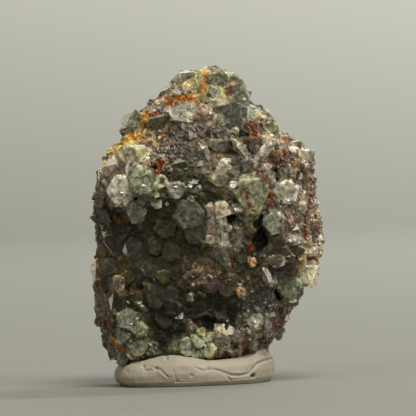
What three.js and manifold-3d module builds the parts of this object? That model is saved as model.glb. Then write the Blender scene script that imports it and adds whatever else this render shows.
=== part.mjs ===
// Phantom fluorite grown on quartz, held upright in a pressed foot of putty.
// Millimetres, +Z up. The face with the best crystals looks towards -Y.
import * as THREE from 'three';
import { mergeVertices } from 'three/addons/utils/BufferGeometryUtils.js';
import { ConvexGeometry } from 'three/addons/geometries/ConvexGeometry.js';
import Module from 'manifold-3d';

const wasm = await Module();
wasm.setup();

// Driving dimensions

// How the rock stands: its lean in the foot, and its place over the origin
const leanDegrees = 1.9;
const rockShift = [-0.3, 1.4, -0.65];

// Rock body: how thick the crystal crust over it is, how square it is in plan, its facets
const crustDepth = 1.1;
const crossSectionPower = 2.5;
const eggHalfSize = [24, 16, 34];
const ringCount = 18;
const ringPoints = 24;
const roughness = 1.0;
const upDownRoughness = 0.6;
const capInset = [0.3, 0.5];
const thinnest = 0.3;
const lastFrontShare = 0.985;

// Fluorite habit: an octahedron with its corners cut off by a cube
const largeHabitCut = 0.66;
const smallHabitCut = 0.5;
const largeCrystal = 5;
const crystalTilt = 0.2;
const depthShare = 0.88;
const seatDepth = 0.3;

// Quartz habit: a six-sided prism with a point at each end
const quartzTipHeight = 0.9;
const quartzLean = [5, 20];
const quartzSlimness = 0.55;

// Broken blocks: how far their corners are knocked in
const chipCorner = [0.62, 1];

// Crystals around the sides, the top and the back
const fillerSpacing = 8.0;
const fillerSizes = [3.8, 6.4];
const fillerSink = 0.5;
const fillerRise = 1.2;
const fillerJitter = 0.25;
const fillerEnds = [4.6, 2.4];
const fillerFrontLimit = -0.45;
const backStarts = 0.55;
const chipShareAtBack = 0.6;
const chipShareAtSides = 0.25;
const quartzShare = 0.15;

// Putty foot: its plan, its soft waves and the room it leaves round the rock
const puttyCentre = [-3.0, 0.6];
const puttyHalfSize = [16.7, 12.8];
const puttyPoints = 44;
const puttySquareness = 0.8;
const puttyWaves = [[3, 0.03, 1], [7, 0.02, 0]];
const puttyMiddleDip = 0.9;
const puttyGap = 0.32;
const swellShare = 1.6;

// The rock's outline seen from the front, and how far it reaches to the front and the back:
// height, left edge, right edge, front reach, back reach
const rockRows = [
  [4.3, -19.2, -13.0, 5.5, 5.0],
  [5.0, -20.0, 2.0, 9.0, 8.0],
  [6.5, -21.0, 9.5, 11.0, 9.5],
  [9.2, -22.2, 13.5, 12.2, 11.0],
  [13.0, -23.0, 16.7, 13.0, 12.5],
  [18.0, -24.0, 19.2, 13.8, 14.5],
  [21.5, -24.2, 21.0, 14.2, 15.5],
  [24.0, -24.6, 23.2, 14.6, 16.0],
  [28.0, -23.8, 24.4, 15.0, 16.4],
  [32.0, -23.4, 24.6, 15.6, 16.6],
  [37.0, -24.3, 24.2, 16.2, 16.6],
  [41.0, -23.8, 23.3, 16.8, 16.4],
  [44.5, -23.0, 22.7, 16.6, 16.0],
  [48.0, -21.6, 22.9, 15.8, 15.4],
  [49.8, -21.3, 22.1, 15.2, 14.8],
  [51.0, -19.1, 20.0, 14.8, 14.2],
  [54.0, -17.5, 15.6, 13.8, 13.0],
  [56.5, -16.7, 14.7, 12.8, 12.0],
  [58.3, -13.8, 12.3, 12.0, 11.2],
  [59.8, -12.0, 9.7, 11.2, 10.4],
  [61.2, -10.2, 9.6, 10.4, 9.6],
  [63.0, -8.5, 8.9, 9.2, 8.6],
  [64.7, -7.2, 8.1, 7.8, 7.2],
  [66.2, -5.4, 7.0, 6.0, 5.6],
  [67.2, -3.0, 5.8, 4.2, 4.0],
  [67.8, -1.0, 2.0, 2.0, 2.0],
];

// Broad swells and hollows of the front face: x, z, radius, height
const frontRelief = [
  [-15, 44, 8, 1.8],
  [-12, 29, 9, -1.6],
  [-9, 11, 7, -2.0],
  [9, 41, 5, 1.2],
  [17, 24, 5, 1.0],
  [0, 56, 6, 0.8],
  [2, 16, 5, -1.8],
];

// Open pockets between the crystals: x, z, width, height, depth
const pockets = [
  [11.3, 32.4, 3.0, 8.4, 5.0],
  [0.8, 13.4, 3.2, 7.0, 5.0],
  [4.7, 49.2, 3.6, 2.4, 3.4],
  [-15.6, 21.4, 3.6, 4.2, 3.2],
  [14.6, 19.8, 1.6, 3.6, 3.4],
  [7.6, 52.8, 2.8, 2.4, 3.0],
  [5.6, 35.5, 3.6, 1.6, 3.2],
  [14.9, 44.1, 1.5, 3.8, 2.8],
];

// Crystals of the front face, as seen from the front:
// kind, x, z, width, height, turn in degrees, how far its middle stands out of the rock
const frontCrystals = [
  ['hex', -4.2, 65.0, 4.6, 3.6, 10, 0.4],
  ['square', -0.6, 65.8, 4.6, 3.8, 20, 0.5],
  ['hex', 3.2, 65.0, 4.8, 4.0, 0, 0.5],
  ['edge', 6.6, 64.0, 4.4, 5.4, -25, 0.4],
  ['hex', 7.6, 60.9, 4.0, 4.6, 15, 0.4],
  ['edge', -1.2, 62.4, 3.4, 4.2, 20, 0.6],
  ['hex', 1.6, 62.0, 3.4, 3.2, 5, 0.5],
  ['chip', 4.8, 62.6, 3.0, 3.4, -10, 0.6],
  ['hex', 4.6, 59.2, 4.2, 4.4, 0, 0.5],
  ['edge', 7.0, 57.8, 3.0, 4.8, 8, 0.5],
  ['hex', 3.4, 56.4, 3.2, 3.6, -8, 0.5],
  ['quartz', -8.2, 61.9, 2.0, 4.4, 65, 0.4],
  ['square', -4.7, 57.9, 4.2, 4.0, 8, 1.0],
  ['hex', -9.6, 55.4, 4.4, 3.6, 0, 0.2],
  ['edge', -15.0, 55.4, 4.8, 5.6, 12, 0.7],
  ['chip', -15.2, 51.8, 4.4, 2.8, 5, 0.5],
  ['hex', -12.4, 50.7, 3.4, 3.0, 0, 0.5],
  ['hex', -14.6, 48.8, 4.4, 3.8, 10, 0.6],
  ['hex', -18.8, 47.6, 4.0, 3.2, 0, 0.4],
  ['hex', -18.7, 44.6, 5.0, 4.4, 0, 0.8],
  ['edge', -17.6, 41.4, 5.2, 4.8, 0, 1.6],
  ['hex', -13.0, 43.4, 5.6, 5.2, 22, 1.6],
  ['edge', -15.6, 45.6, 2.4, 3.8, 15, 0.9],
  ['hex', -5.6, 46.4, 3.4, 3.0, 0, 0.4],
  ['hex', -6.3, 41.7, 3.2, 3.2, 15, 0.9],
  ['hex', -3.6, 36.8, 6.2, 6.6, 5, 1.0],
  ['hex', -2.5, 32.6, 4.8, 4.2, 28, 1.2],
  ['hex', -14.6, 37.3, 4.2, 4.6, 18, 0.8],
  ['hex', -8.4, 33.9, 5.0, 4.4, 0, 0.7],
  ['hex', -14.2, 28.8, 5.6, 6.2, 25, 1.0],
  ['hex', -18.6, 30.4, 4.8, 4.6, 8, 0.6],
  ['hex', -10.6, 30.0, 3.8, 4.2, -30, 0.4],
  ['hex', -19.0, 25.4, 5.4, 4.0, 10, 0.5],
  ['edge', -23.0, 24.4, 2.6, 5.0, 10, 0.1],
  ['chip', -18.3, 21.7, 2.2, 3.2, 8, 0.9],
  ['hex', -9.0, 23.6, 2.8, 2.8, 0, 0.7],
  ['hex', -10.4, 19.6, 4.8, 4.8, 20, 0.8],
  ['edge', -18.6, 18.0, 3.2, 3.8, 10, 0.5],
  ['edge', -16.2, 14.4, 4.4, 4.0, 20, 1.0],
  ['hex', -14.4, 8.2, 3.6, 3.2, 12, 1.0],
  ['chip', -17.3, 6.2, 3.4, 2.8, 10, 0.6],
  ['hex', -4.2, 9.4, 2.8, 2.8, 0, 1.3],
  ['hex', -1.7, 10.0, 3.0, 2.8, 10, 1.3],
  ['hex', 0.4, 8.2, 3.0, 2.8, 15, 1.3],
  ['hex', -8.8, 14.8, 4.2, 4.0, 0, 0.5],
  ['hex', -9.2, 10.4, 4.4, 4.0, 18, 0.3],
  ['quartz', -3.2, 19.3, 2.2, 3.2, 0, -0.2],
  ['chip', -1.6, 25.2, 3.6, 2.0, -5, 0.7],
  ['hex', 1.0, 21.8, 3.4, 3.0, 10, 0.8],
  ['hex', 4.2, 20.8, 3.8, 3.8, 0, 0.5],
  ['chip', 2.6, 51.2, 3.8, 2.6, 5, 0.8],
  ['quartz', 7.6, 49.4, 2.0, 5.0, -25, 0.8],
  ['quartz', 0.0, 48.3, 2.4, 4.8, -25, 1.1],
  ['quartz', 3.3, 46.4, 2.0, 3.8, 12, 1.1],
  ['hex', 2.6, 43.9, 3.6, 3.0, 0, 1.0],
  ['hex', 6.6, 47.4, 3.2, 2.6, 0, 0.6],
  ['quartz', 11.5, 49.0, 2.2, 4.8, 40, 1.0],
  ['hex', 14.2, 47.8, 3.8, 3.8, 0, 0.6],
  ['quartz', 12.8, 44.6, 2.0, 4.6, -25, 0.6],
  ['square', 9.3, 40.9, 6.4, 7.4, 12, 1.4],
  ['hex', 16.7, 41.4, 5.2, 4.6, 0, 1.2],
  ['hex', 14.0, 35.0, 4.3, 4.4, 0, 1.6],
  ['hex', 9.4, 35.1, 3.0, 4.2, 0, 0.9],
  ['quartz', 6.1, 31.4, 3.8, 6.8, 0, 0.6],
  ['chip', 3.2, 37.8, 3.0, 3.2, -20, 1.2],
  ['quartz', 3.0, 32.8, 2.2, 6.6, -3, 1.0],
  ['quartz', 0.9, 35.6, 2.0, 7.0, -5, 0.7],
  ['hex', 14.4, 30.3, 3.4, 4.0, 0, 0.9],
  ['quartz', 17.9, 31.1, 2.2, 3.8, 80, 1.3],
  ['hex', 14.4, 26.8, 3.6, 2.6, 5, 1.4],
  ['hex', 17.2, 25.8, 4.4, 4.4, 10, 1.5],
  ['edge', 21.4, 24.2, 4.4, 6.2, 15, 1.2],
  ['chip', 21.7, 28.6, 3.6, 2.4, 10, 0.7],
  ['square', 17.6, 21.3, 5.6, 5.4, -8, 1.4],
  ['quartz', 3.9, 27.0, 3.0, 6.8, -37, 0.9],
  ['quartz', 12.4, 23.6, 2.0, 4.6, -25, 1.0],
  ['edge', 7.1, 20.9, 2.4, 3.2, 5, 1.0],
  ['hex', 10.4, 19.6, 3.4, 3.2, 0, 0.6],
  ['hex', 10.0, 14.3, 3.4, 3.6, 10, 1.0],
  ['quartz', 12.6, 14.6, 2.2, 7.6, -5, 0.5],
  ['hex', 15.6, 14.8, 3.2, 3.0, 0, 0.5],
  ['chip', 3.6, 12.0, 3.6, 2.0, 0, 1.3],
  ['hex', 3.3, 9.8, 3.4, 3.0, 0, 1.0],
  ['hex', 6.5, 10.8, 3.2, 2.8, -30, 1.0],
  ['hex', 5.8, 8.2, 3.6, 2.8, 0, 1.0],
  ['quartz', 9.6, 9.8, 2.0, 4.4, 0, 0.8],
  ['chip', 12.4, 57.2, 3.2, 2.6, -30, 0.2],
  ['hex', 13.0, 54.4, 3.8, 3.4, 0, 0.4],
  ['chip', 9.6, 54.9, 2.6, 3.2, 15, 0.6],
  ['hex', 16.4, 51.8, 3.2, 2.8, 0, 0.2],
  ['hex', 20.4, 49.0, 3.8, 3.0, 15, 0.1],
  ['hex', 20.0, 46.4, 3.8, 3.4, 0, 0.4],
  ['chip', 17.0, 45.0, 3.0, 3.2, 0, 0.7],
  ['hex', 20.2, 38.0, 3.0, 3.0, 0, 0.6],
  ['chip', 22.2, 34.0, 3.2, 3.2, 0, 0.2],
  ['chip', -0.6, 56.8, 3.6, 2.6, 10, 0.6],
];

// Where the leaning rock stands: every solid of it is turned and moved by this
const stance = new THREE.Matrix4()
  .makeTranslation(...rockShift)
  .multiply(new THREE.Matrix4().makeRotationY(THREE.MathUtils.degToRad(leanDegrees)));

// The same seed gives the same rock every time
const seed = 20611;
let seedState = seed;
function random() {
  seedState = (seedState + 0x6d2b79f5) | 0;
  let mixed = Math.imul(seedState ^ (seedState >>> 15), 1 | seedState);
  mixed = (mixed + Math.imul(mixed ^ (mixed >>> 7), 61 | mixed)) ^ mixed;
  return ((mixed ^ (mixed >>> 14)) >>> 0) / 4294967296;
}

function between(low, high) {
  return low + (high - low) * random();
}

function toSolid(geometry) {
  const bare = geometry.clone();
  bare.deleteAttribute('normal');
  bare.deleteAttribute('uv');
  const merged = mergeVertices(bare, 1e-5);
  return new wasm.Manifold(new wasm.Mesh({
    numProp: 3,
    vertProperties: new Float32Array(merged.attributes.position.array),
    triVerts: new Uint32Array(merged.index.array),
  }));
}

function toGeometry(solid) {
  const mesh = solid.getMesh();
  const geometry = new THREE.BufferGeometry();
  geometry.setAttribute('position', new THREE.BufferAttribute(mesh.vertProperties, 3));
  geometry.setIndex(new THREE.BufferAttribute(mesh.triVerts, 1));
  geometry.computeVertexNormals();
  return geometry;
}

// Rock body

function rowAt(z) {
  const last = rockRows.length - 1;
  let index = 0;
  while (index < last - 1 && rockRows[index + 1][0] < z) index += 1;
  const low = rockRows[index];
  const high = rockRows[index + 1];
  const share = THREE.MathUtils.clamp((z - low[0]) / (high[0] - low[0]), 0, 1);
  const [, left, right, front, back] = low.map((value, column) => {
    return THREE.MathUtils.lerp(value, high[column], share);
  });
  return { left, right, front, back };
}

function reliefAt(x, z) {
  let height = 0;
  for (const [middleX, middleZ, radius, swell] of frontRelief) {
    const distance = Math.hypot(x - middleX, z - middleZ) / radius;
    height += swell * Math.exp(-distance * distance);
  }
  return height;
}

function rockPoint(z, angle, inset) {
  const row = rowAt(z);
  const middle = (row.left + row.right) / 2;
  const halfWidth = Math.max((row.right - row.left) / 2 - inset, thinnest);
  const across = Math.cos(angle);
  const along = Math.sin(angle);
  const power = 2 / crossSectionPower;
  const x = middle + halfWidth * Math.sign(across) * Math.abs(across) ** power;
  const reach = along < 0 ? row.front + reliefAt(x, z) : row.back;
  const y = Math.max(reach - inset, thinnest) * Math.sign(along) * Math.abs(along) ** power;
  return new THREE.Vector3(x, y, z);
}

function frontAt(x, z) {
  const row = rowAt(z);
  const halfWidth = (row.right - row.left) / 2 - crustDepth;
  const share = Math.min(Math.abs(x - (row.left + row.right) / 2) / halfWidth, lastFrontShare);
  const fall = (1 - share ** crossSectionPower) ** (1 / crossSectionPower);
  return -(row.front + reliefAt(x, z) - crustDepth) * fall;
}

// The way out of the rock at a point, as on an egg of the rock's size
function outward(point) {
  return new THREE.Vector3(
    point.x / eggHalfSize[0] ** 2,
    point.y / eggHalfSize[1] ** 2,
    (point.z - eggHalfSize[2]) / eggHalfSize[2] ** 2,
  ).normalize();
}

function makeRockBody(growth) {
  const bottom = rockRows[0][0] + capInset[0];
  const top = rockRows[rockRows.length - 1][0] - capInset[1];
  const positions = [];
  const faces = [];
  for (let ring = 0; ring < ringCount; ring += 1) {
    const share = (ring + 0.5) / ringCount;
    const height = bottom + (top - bottom) * share;
    for (let step = 0; step < ringPoints; step += 1) {
      const angle = ((step + 0.5 * (ring % 2)) / ringPoints) * Math.PI * 2;
      const point = rockPoint(height, angle, crustDepth);
      const bump = between(-roughness, roughness);
      point.x += bump * Math.cos(angle);
      point.y += bump * Math.sin(angle);
      point.z += between(-roughness, roughness) * upDownRoughness;
      point.addScaledVector(outward(point), growth * swellShare);
      positions.push(point.x, point.y, point.z);
    }
  }
  for (let ring = 0; ring < ringCount - 1; ring += 1) {
    for (let step = 0; step < ringPoints; step += 1) {
      const next = (step + 1) % ringPoints;
      const here = ring * ringPoints;
      const above = here + ringPoints;
      if (ring % 2 === 0) {
        faces.push(here + step, here + next, above + step);
        faces.push(here + next, above + next, above + step);
      } else {
        faces.push(here + step, here + next, above + next);
        faces.push(here + step, above + next, above + step);
      }
    }
  }
  const caps = [[0, bottom, -1], [ringCount - 1, top, 1]];
  for (const [ring, height, side] of caps) {
    const row = rowAt(height);
    const centre = positions.length / 3;
    positions.push((row.left + row.right) / 2, 0, height + side * growth * swellShare);
    for (let step = 0; step < ringPoints; step += 1) {
      const here = ring * ringPoints + step;
      const next = ring * ringPoints + ((step + 1) % ringPoints);
      if (side > 0) faces.push(here, next, centre);
      else faces.push(next, here, centre);
    }
  }
  const geometry = new THREE.BufferGeometry();
  geometry.setAttribute('position', new THREE.Float32BufferAttribute(positions, 3));
  geometry.setIndex(faces);
  return toSolid(geometry.applyMatrix4(stance));
}

// Crystals

// An octahedron with its corners cut off by a cube; at a cut of a half the edges are used up
function fluoritePoints(cut) {
  const points = [];
  const near = 1 - cut;
  const pairs = cut === near ? [[cut, near]] : [[cut, near], [near, cut]];
  for (const first of [-1, 1]) {
    for (const second of [-1, 1]) {
      for (const [a, b] of pairs) {
        points.push(new THREE.Vector3(first * a, second * b, 0));
        points.push(new THREE.Vector3(0, first * a, second * b));
        points.push(new THREE.Vector3(first * a, 0, second * b));
      }
    }
  }
  return points;
}

function quartzPoints(width, length) {
  const radius = width / 2;
  const shoulder = length / 2 - radius * quartzTipHeight;
  const points = [];
  for (let side = 0; side < 6; side += 1) {
    const angle = (side / 6) * Math.PI * 2;
    const x = radius * Math.cos(angle);
    const y = radius * Math.sin(angle);
    points.push(new THREE.Vector3(x, y, shoulder), new THREE.Vector3(x, y, -shoulder));
  }
  points.push(new THREE.Vector3(0, 0, length / 2), new THREE.Vector3(0, 0, -length / 2));
  return points;
}

function chipPoints() {
  const points = [];
  for (const x of [-1, 1]) {
    for (const y of [-1, 1]) {
      for (const z of [-1, 1]) {
        const corner = new THREE.Vector3(x, y, z);
        points.push(corner.multiply(new THREE.Vector3(
          between(...chipCorner), between(...chipCorner), between(...chipCorner))));
      }
    }
  }
  return points;
}

// The crystal direction that looks out of the rock: a corner face, a cube face or an edge
const facings = {
  hex: new THREE.Vector3(1, 1, 1).normalize(),
  square: new THREE.Vector3(0, 1, 0),
  edge: new THREE.Vector3(1, 1, 0).normalize(),
};

function fitPoints(points, width, height) {
  const box = new THREE.Box3().setFromPoints(points);
  const size = box.getSize(new THREE.Vector3());
  const depth = ((width + height) / 2) * depthShare;
  const scale = new THREE.Vector3(width / size.x, depth / size.y, height / size.z);
  for (const point of points) point.multiply(scale);
  return points;
}

function crystalPoints(kind, width, height, turnDegrees) {
  const turn = new THREE.Quaternion().setFromAxisAngle(
    new THREE.Vector3(0, 1, 0), THREE.MathUtils.degToRad(turnDegrees));
  if (kind === 'quartz') {
    const lean = new THREE.Quaternion().setFromAxisAngle(
      new THREE.Vector3(1, 0, 0), THREE.MathUtils.degToRad(between(...quartzLean)));
    return quartzPoints(width, height).map((point) => {
      return point.applyQuaternion(lean).applyQuaternion(turn);
    });
  }
  if (kind === 'chip') {
    const points = fitPoints(chipPoints(), width, height);
    return points.map((point) => point.applyQuaternion(turn));
  }
  const face = new THREE.Quaternion().setFromUnitVectors(
    facings[kind], new THREE.Vector3(0, -1, 0));
  const tilt = new THREE.Quaternion().setFromEuler(new THREE.Euler(
    between(-crystalTilt, crystalTilt), 0, between(-crystalTilt, crystalTilt)));
  const cut = (width + height) / 2 < largeCrystal ? smallHabitCut : largeHabitCut;
  const turned = fluoritePoints(cut).map((point) => {
    return point.applyQuaternion(face).applyQuaternion(turn).applyQuaternion(tilt);
  });
  return fitPoints(turned, width, height);
}

// A crystal's points about its middle, swollen by the growth and moved to its place
function placeCrystal(points, place, growth) {
  const size = new THREE.Box3().setFromPoints(points).getSize(new THREE.Vector3());
  const swell = 1 + (growth * swellShare * 2) / Math.min(size.x, size.y, size.z);
  const moved = points.map((point) => point.multiplyScalar(swell).add(place));
  return toSolid(new ConvexGeometry(moved).applyMatrix4(stance));
}

function makeFrontCrystals(growth) {
  return frontCrystals.map(([kind, x, z, width, height, turn, out]) => {
    const place = new THREE.Vector3(x, frontAt(x, z) + seatDepth - out, z);
    return placeCrystal(crystalPoints(kind, width, height, turn), place, growth);
  });
}

// Smaller crystals and broken blocks on the sides, the top and the back
function makeFillerCrystals(growth) {
  const solids = [];
  const bottom = rockRows[0][0] + fillerEnds[0];
  const top = rockRows[rockRows.length - 1][0] - fillerEnds[1];
  const rows = Math.round((top - bottom) / fillerSpacing);
  for (let row = 0; row <= rows; row += 1) {
    const height = bottom + ((top - bottom) * row) / rows;
    const edges = rowAt(height);
    const girth = Math.PI * ((edges.right - edges.left) / 2 + (edges.front + edges.back) / 2);
    const count = Math.max(3, Math.round(girth / fillerSpacing));
    for (let step = 0; step < count; step += 1) {
      const jitter = between(-fillerJitter, fillerJitter);
      const angle = ((step + jitter + 0.5 * (row % 2)) / count) * Math.PI * 2;
      const z = height + between(-fillerRise, fillerRise);
      const size = between(...fillerSizes);
      const drawn = random();
      const turn = new THREE.Quaternion().setFromEuler(new THREE.Euler(
        between(0, Math.PI), between(0, Math.PI), between(0, Math.PI)));
      const behind = Math.sin(angle) > backStarts;
      const chipShare = behind ? chipShareAtBack : chipShareAtSides;
      let kind = 'hex';
      if (drawn < chipShare) kind = 'chip';
      else if (drawn > 1 - quartzShare) kind = 'quartz';
      const width = kind === 'quartz' ? size * quartzSlimness : size;
      const points = crystalPoints(kind, width, size, 0);
      if (Math.sin(angle) < fillerFrontLimit) continue;
      const seat = rockPoint(Math.min(z, top), angle, size * fillerSink);
      const turned = points.map((point) => point.applyQuaternion(turn));
      solids.push(placeCrystal(turned, seat, growth));
    }
  }
  return solids;
}

function makePocket([x, z, width, height, depth]) {
  const points = fitPoints(fluoritePoints(smallHabitCut), width, height);
  const seat = frontAt(x, z);
  const stretch = (depth * 2) / ((width + height) / 2);
  for (const point of points) point.y *= stretch;
  return placeCrystal(points, new THREE.Vector3(x, seat, z), 0);
}

function makeSpecimen(growth) {
  seedState = seed;
  let rock = makeRockBody(growth);
  for (const pocket of pockets) rock = rock.subtract(makePocket(pocket));
  for (const crystal of [...makeFrontCrystals(growth), ...makeFillerCrystals(growth)]) {
    rock = rock.add(crystal);
  }
  return rock;
}

// Putty foot

// Height of the foot's upper edge along x, from its left end to its right end
const puttyTops = [
  [-19.4, 3.4],
  [-16.0, 4.4],
  [-12.5, 5.9],
  [-8.5, 6.7],
  [-4.0, 6.3],
  [0.5, 5.0],
  [4.0, 5.4],
  [8.5, 5.6],
  [10.5, 7.2],
  [12.2, 7.8],
  [14.0, 6.4],
];

function puttyTopAt(x) {
  let index = 0;
  while (index < puttyTops.length - 2 && puttyTops[index + 1][0] < x) index += 1;
  const [lowX, lowZ] = puttyTops[index];
  const [highX, highZ] = puttyTops[index + 1];
  const share = THREE.MathUtils.clamp((x - lowX) / (highX - lowX), 0, 1);
  return THREE.MathUtils.lerp(lowZ, highZ, share);
}

// Rings from the table upwards and inwards: share of the plan, share of the height
const puttyProfile = [
  [0.93, 0],
  [0.985, 0.16],
  [1.0, 0.42],
  [0.98, 0.7],
  [0.93, 0.9],
  [0.85, 1.0],
  [0.62, 1.0],
  [0.32, 0.95],
];

function makePutty() {
  const positions = [];
  const faces = [];
  for (const [planShare, heightShare] of puttyProfile) {
    for (let step = 0; step < puttyPoints; step += 1) {
      const angle = (step / puttyPoints) * Math.PI * 2;
      const across = Math.cos(angle);
      const along = Math.sin(angle);
      let plan = planShare;
      for (const [waves, depth, start] of puttyWaves) {
        plan += planShare * depth * Math.sin(angle * waves + start);
      }
      const wide = plan * Math.sign(across) * Math.abs(across) ** puttySquareness;
      const deep = plan * Math.sign(along) * Math.abs(along) ** puttySquareness;
      const x = puttyCentre[0] + puttyHalfSize[0] * wide;
      const y = puttyCentre[1] + puttyHalfSize[1] * deep;
      positions.push(x, y, puttyTopAt(x) * heightShare);
    }
  }
  const rings = puttyProfile.length;
  for (let ring = 0; ring < rings - 1; ring += 1) {
    for (let step = 0; step < puttyPoints; step += 1) {
      const next = (step + 1) % puttyPoints;
      const here = ring * puttyPoints;
      const above = here + puttyPoints;
      faces.push(here + step, here + next, above + next);
      faces.push(here + step, above + next, above + step);
    }
  }
  const bottomMiddle = positions.length / 3;
  positions.push(puttyCentre[0], puttyCentre[1], 0);
  const topMiddle = bottomMiddle + 1;
  positions.push(puttyCentre[0], puttyCentre[1], puttyTopAt(puttyCentre[0]) * puttyMiddleDip);
  const lastRing = (rings - 1) * puttyPoints;
  for (let step = 0; step < puttyPoints; step += 1) {
    const next = (step + 1) % puttyPoints;
    faces.push(next, step, bottomMiddle);
    faces.push(lastRing + step, lastRing + next, topMiddle);
  }
  const geometry = new THREE.BufferGeometry();
  geometry.setAttribute('position', new THREE.Float32BufferAttribute(positions, 3));
  geometry.setIndex(faces);
  return toSolid(geometry);
}

// The object

const specimen = new THREE.Mesh(
  toGeometry(makeSpecimen(0)),
  new THREE.MeshStandardMaterial({ color: 0x7c7a66, roughness: 0.35, metalness: 0 }),
);
specimen.name = 'fluorite_on_quartz';

const putty = new THREE.Mesh(
  toGeometry(makePutty().subtract(makeSpecimen(puttyGap))),
  new THREE.MeshStandardMaterial({ color: 0xb5aea0, roughness: 0.75, metalness: 0 }),
);
putty.name = 'putty_foot';

const object = new THREE.Group();
object.add(specimen, putty);

export default object;
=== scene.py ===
"""Phantom fluorite on quartz in its putty foot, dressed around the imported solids."""

import math
import random
from itertools import product

import bpy
import numpy as np
from mathutils import Euler, Matrix, Vector, kdtree, noise
from mathutils.bvhtree import BVHTree


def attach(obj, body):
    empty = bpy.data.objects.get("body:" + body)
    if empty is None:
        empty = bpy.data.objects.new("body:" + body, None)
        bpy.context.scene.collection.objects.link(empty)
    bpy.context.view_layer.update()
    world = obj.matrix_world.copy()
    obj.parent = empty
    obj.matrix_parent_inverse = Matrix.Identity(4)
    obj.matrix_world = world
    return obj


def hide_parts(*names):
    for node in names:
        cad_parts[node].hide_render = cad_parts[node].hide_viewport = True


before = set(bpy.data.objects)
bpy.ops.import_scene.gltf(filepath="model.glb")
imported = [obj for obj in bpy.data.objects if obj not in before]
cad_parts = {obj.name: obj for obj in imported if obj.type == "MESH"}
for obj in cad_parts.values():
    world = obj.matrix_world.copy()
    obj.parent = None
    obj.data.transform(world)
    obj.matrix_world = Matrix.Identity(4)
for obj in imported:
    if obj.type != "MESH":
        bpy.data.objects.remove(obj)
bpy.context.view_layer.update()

bl_info = {
    "name": "Phantom fluorite on quartz",
    "version": (1, 0, 0),
    "blender": (4, 5, 0),
    "location": "3D View > Sidebar > Specimen",
    "description": "Clear fluorite with dark phantoms on quartz, standing in pressed putty",
    "category": "Object",
}

MM = 0.001
TINY = 1e-12
FAR_AWAY = 99.0

# Each step of the growth draws from its own sequence
SEED = 20639
ROCK_SEED, FORM_SEED, GRAIN_SEED, STAIN_SEED, GLINT_SEED = (SEED + step for step in (1, 2, 4, 5, 6))
noise.seed_set(SEED)

# How the rock stands in the foot: its lean, and its place over the origin, in mm
LEAN = math.radians(1.9)
ROCK_SHIFT = Vector((-0.3, 1.4, -0.65))
STANCE = Matrix.Scale(MM, 4) @ Matrix.Translation(ROCK_SHIFT) @ Matrix.Rotation(LEAN, 4, "Y")

# The rock's outline from the front, in mm: height, left edge, right edge, front reach, back reach
ROCK_ROWS = [
    (4.3, -19.2, -13.0, 5.5, 5.0),
    (5.0, -20.0, 2.0, 9.0, 8.0),
    (6.5, -21.0, 9.5, 11.0, 9.5),
    (9.2, -22.2, 13.5, 12.2, 11.0),
    (13.0, -23.0, 16.7, 13.0, 12.5),
    (18.0, -24.0, 19.2, 13.8, 14.5),
    (21.5, -24.2, 21.0, 14.2, 15.5),
    (24.0, -24.6, 23.2, 14.6, 16.0),
    (28.0, -23.8, 24.4, 15.0, 16.4),
    (32.0, -23.4, 24.6, 15.6, 16.6),
    (37.0, -24.3, 24.2, 16.2, 16.6),
    (41.0, -23.8, 23.3, 16.8, 16.4),
    (44.5, -23.0, 22.7, 16.6, 16.0),
    (48.0, -21.6, 22.9, 15.8, 15.4),
    (49.8, -21.3, 22.1, 15.2, 14.8),
    (51.0, -19.1, 20.0, 14.8, 14.2),
    (54.0, -17.5, 15.6, 13.8, 13.0),
    (56.5, -16.7, 14.7, 12.8, 12.0),
    (58.3, -13.8, 12.3, 12.0, 11.2),
    (59.8, -12.0, 9.7, 11.2, 10.4),
    (61.2, -10.2, 9.6, 10.4, 9.6),
    (63.0, -8.5, 8.9, 9.2, 8.6),
    (64.7, -7.2, 8.1, 7.8, 7.2),
    (66.2, -5.4, 7.0, 6.0, 5.6),
    (67.2, -3.0, 5.8, 4.2, 4.0),
    (67.8, -1.0, 2.0, 2.0, 2.0),
]
SQUARENESS = 2.5
# How far under the outline the skin starts, and the least reach of a ring, in mm
SKIN_DEPTH = 0.75
LEAST_REACH = 0.3

# Broad swells and hollows of the front face: x, z, radius, height
FRONT_RELIEF = [
    (-15, 44, 8, 1.8),
    (-12, 29, 9, -1.6),
    (-9, 11, 7, -2.0),
    (9, 41, 5, 1.2),
    (17, 24, 5, 1.0),
    (0, 56, 6, 0.8),
    (2, 16, 5, -1.8),
]

# Open pockets between the crystals: x, z, width, height, depth
POCKETS = [
    (11.3, 32.4, 3.0, 8.4, 3.1),
    (4.7, 49.2, 3.6, 2.4, 1.4),
    (-15.6, 21.4, 3.6, 4.2, 1.6),
    (14.6, 19.8, 1.6, 3.6, 3.4),
    (7.6, 52.8, 2.8, 2.4, 1.6),
    (5.6, 35.5, 3.6, 1.6, 3.2),
    (14.9, 44.1, 1.5, 3.8, 2.8),
    (-15.0, 40.0, 2.4, 1.0, 1.6),
    (12.7, 45.5, 1.6, 1.2, 2.0),
    (-11.2, 46.2, 1.6, 1.2, 2.0),
    (15.0, 24.6, 1.4, 1.8, 2.6),
    (0.9, 12.8, 4.0, 5.0, 1.2),
]

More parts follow.
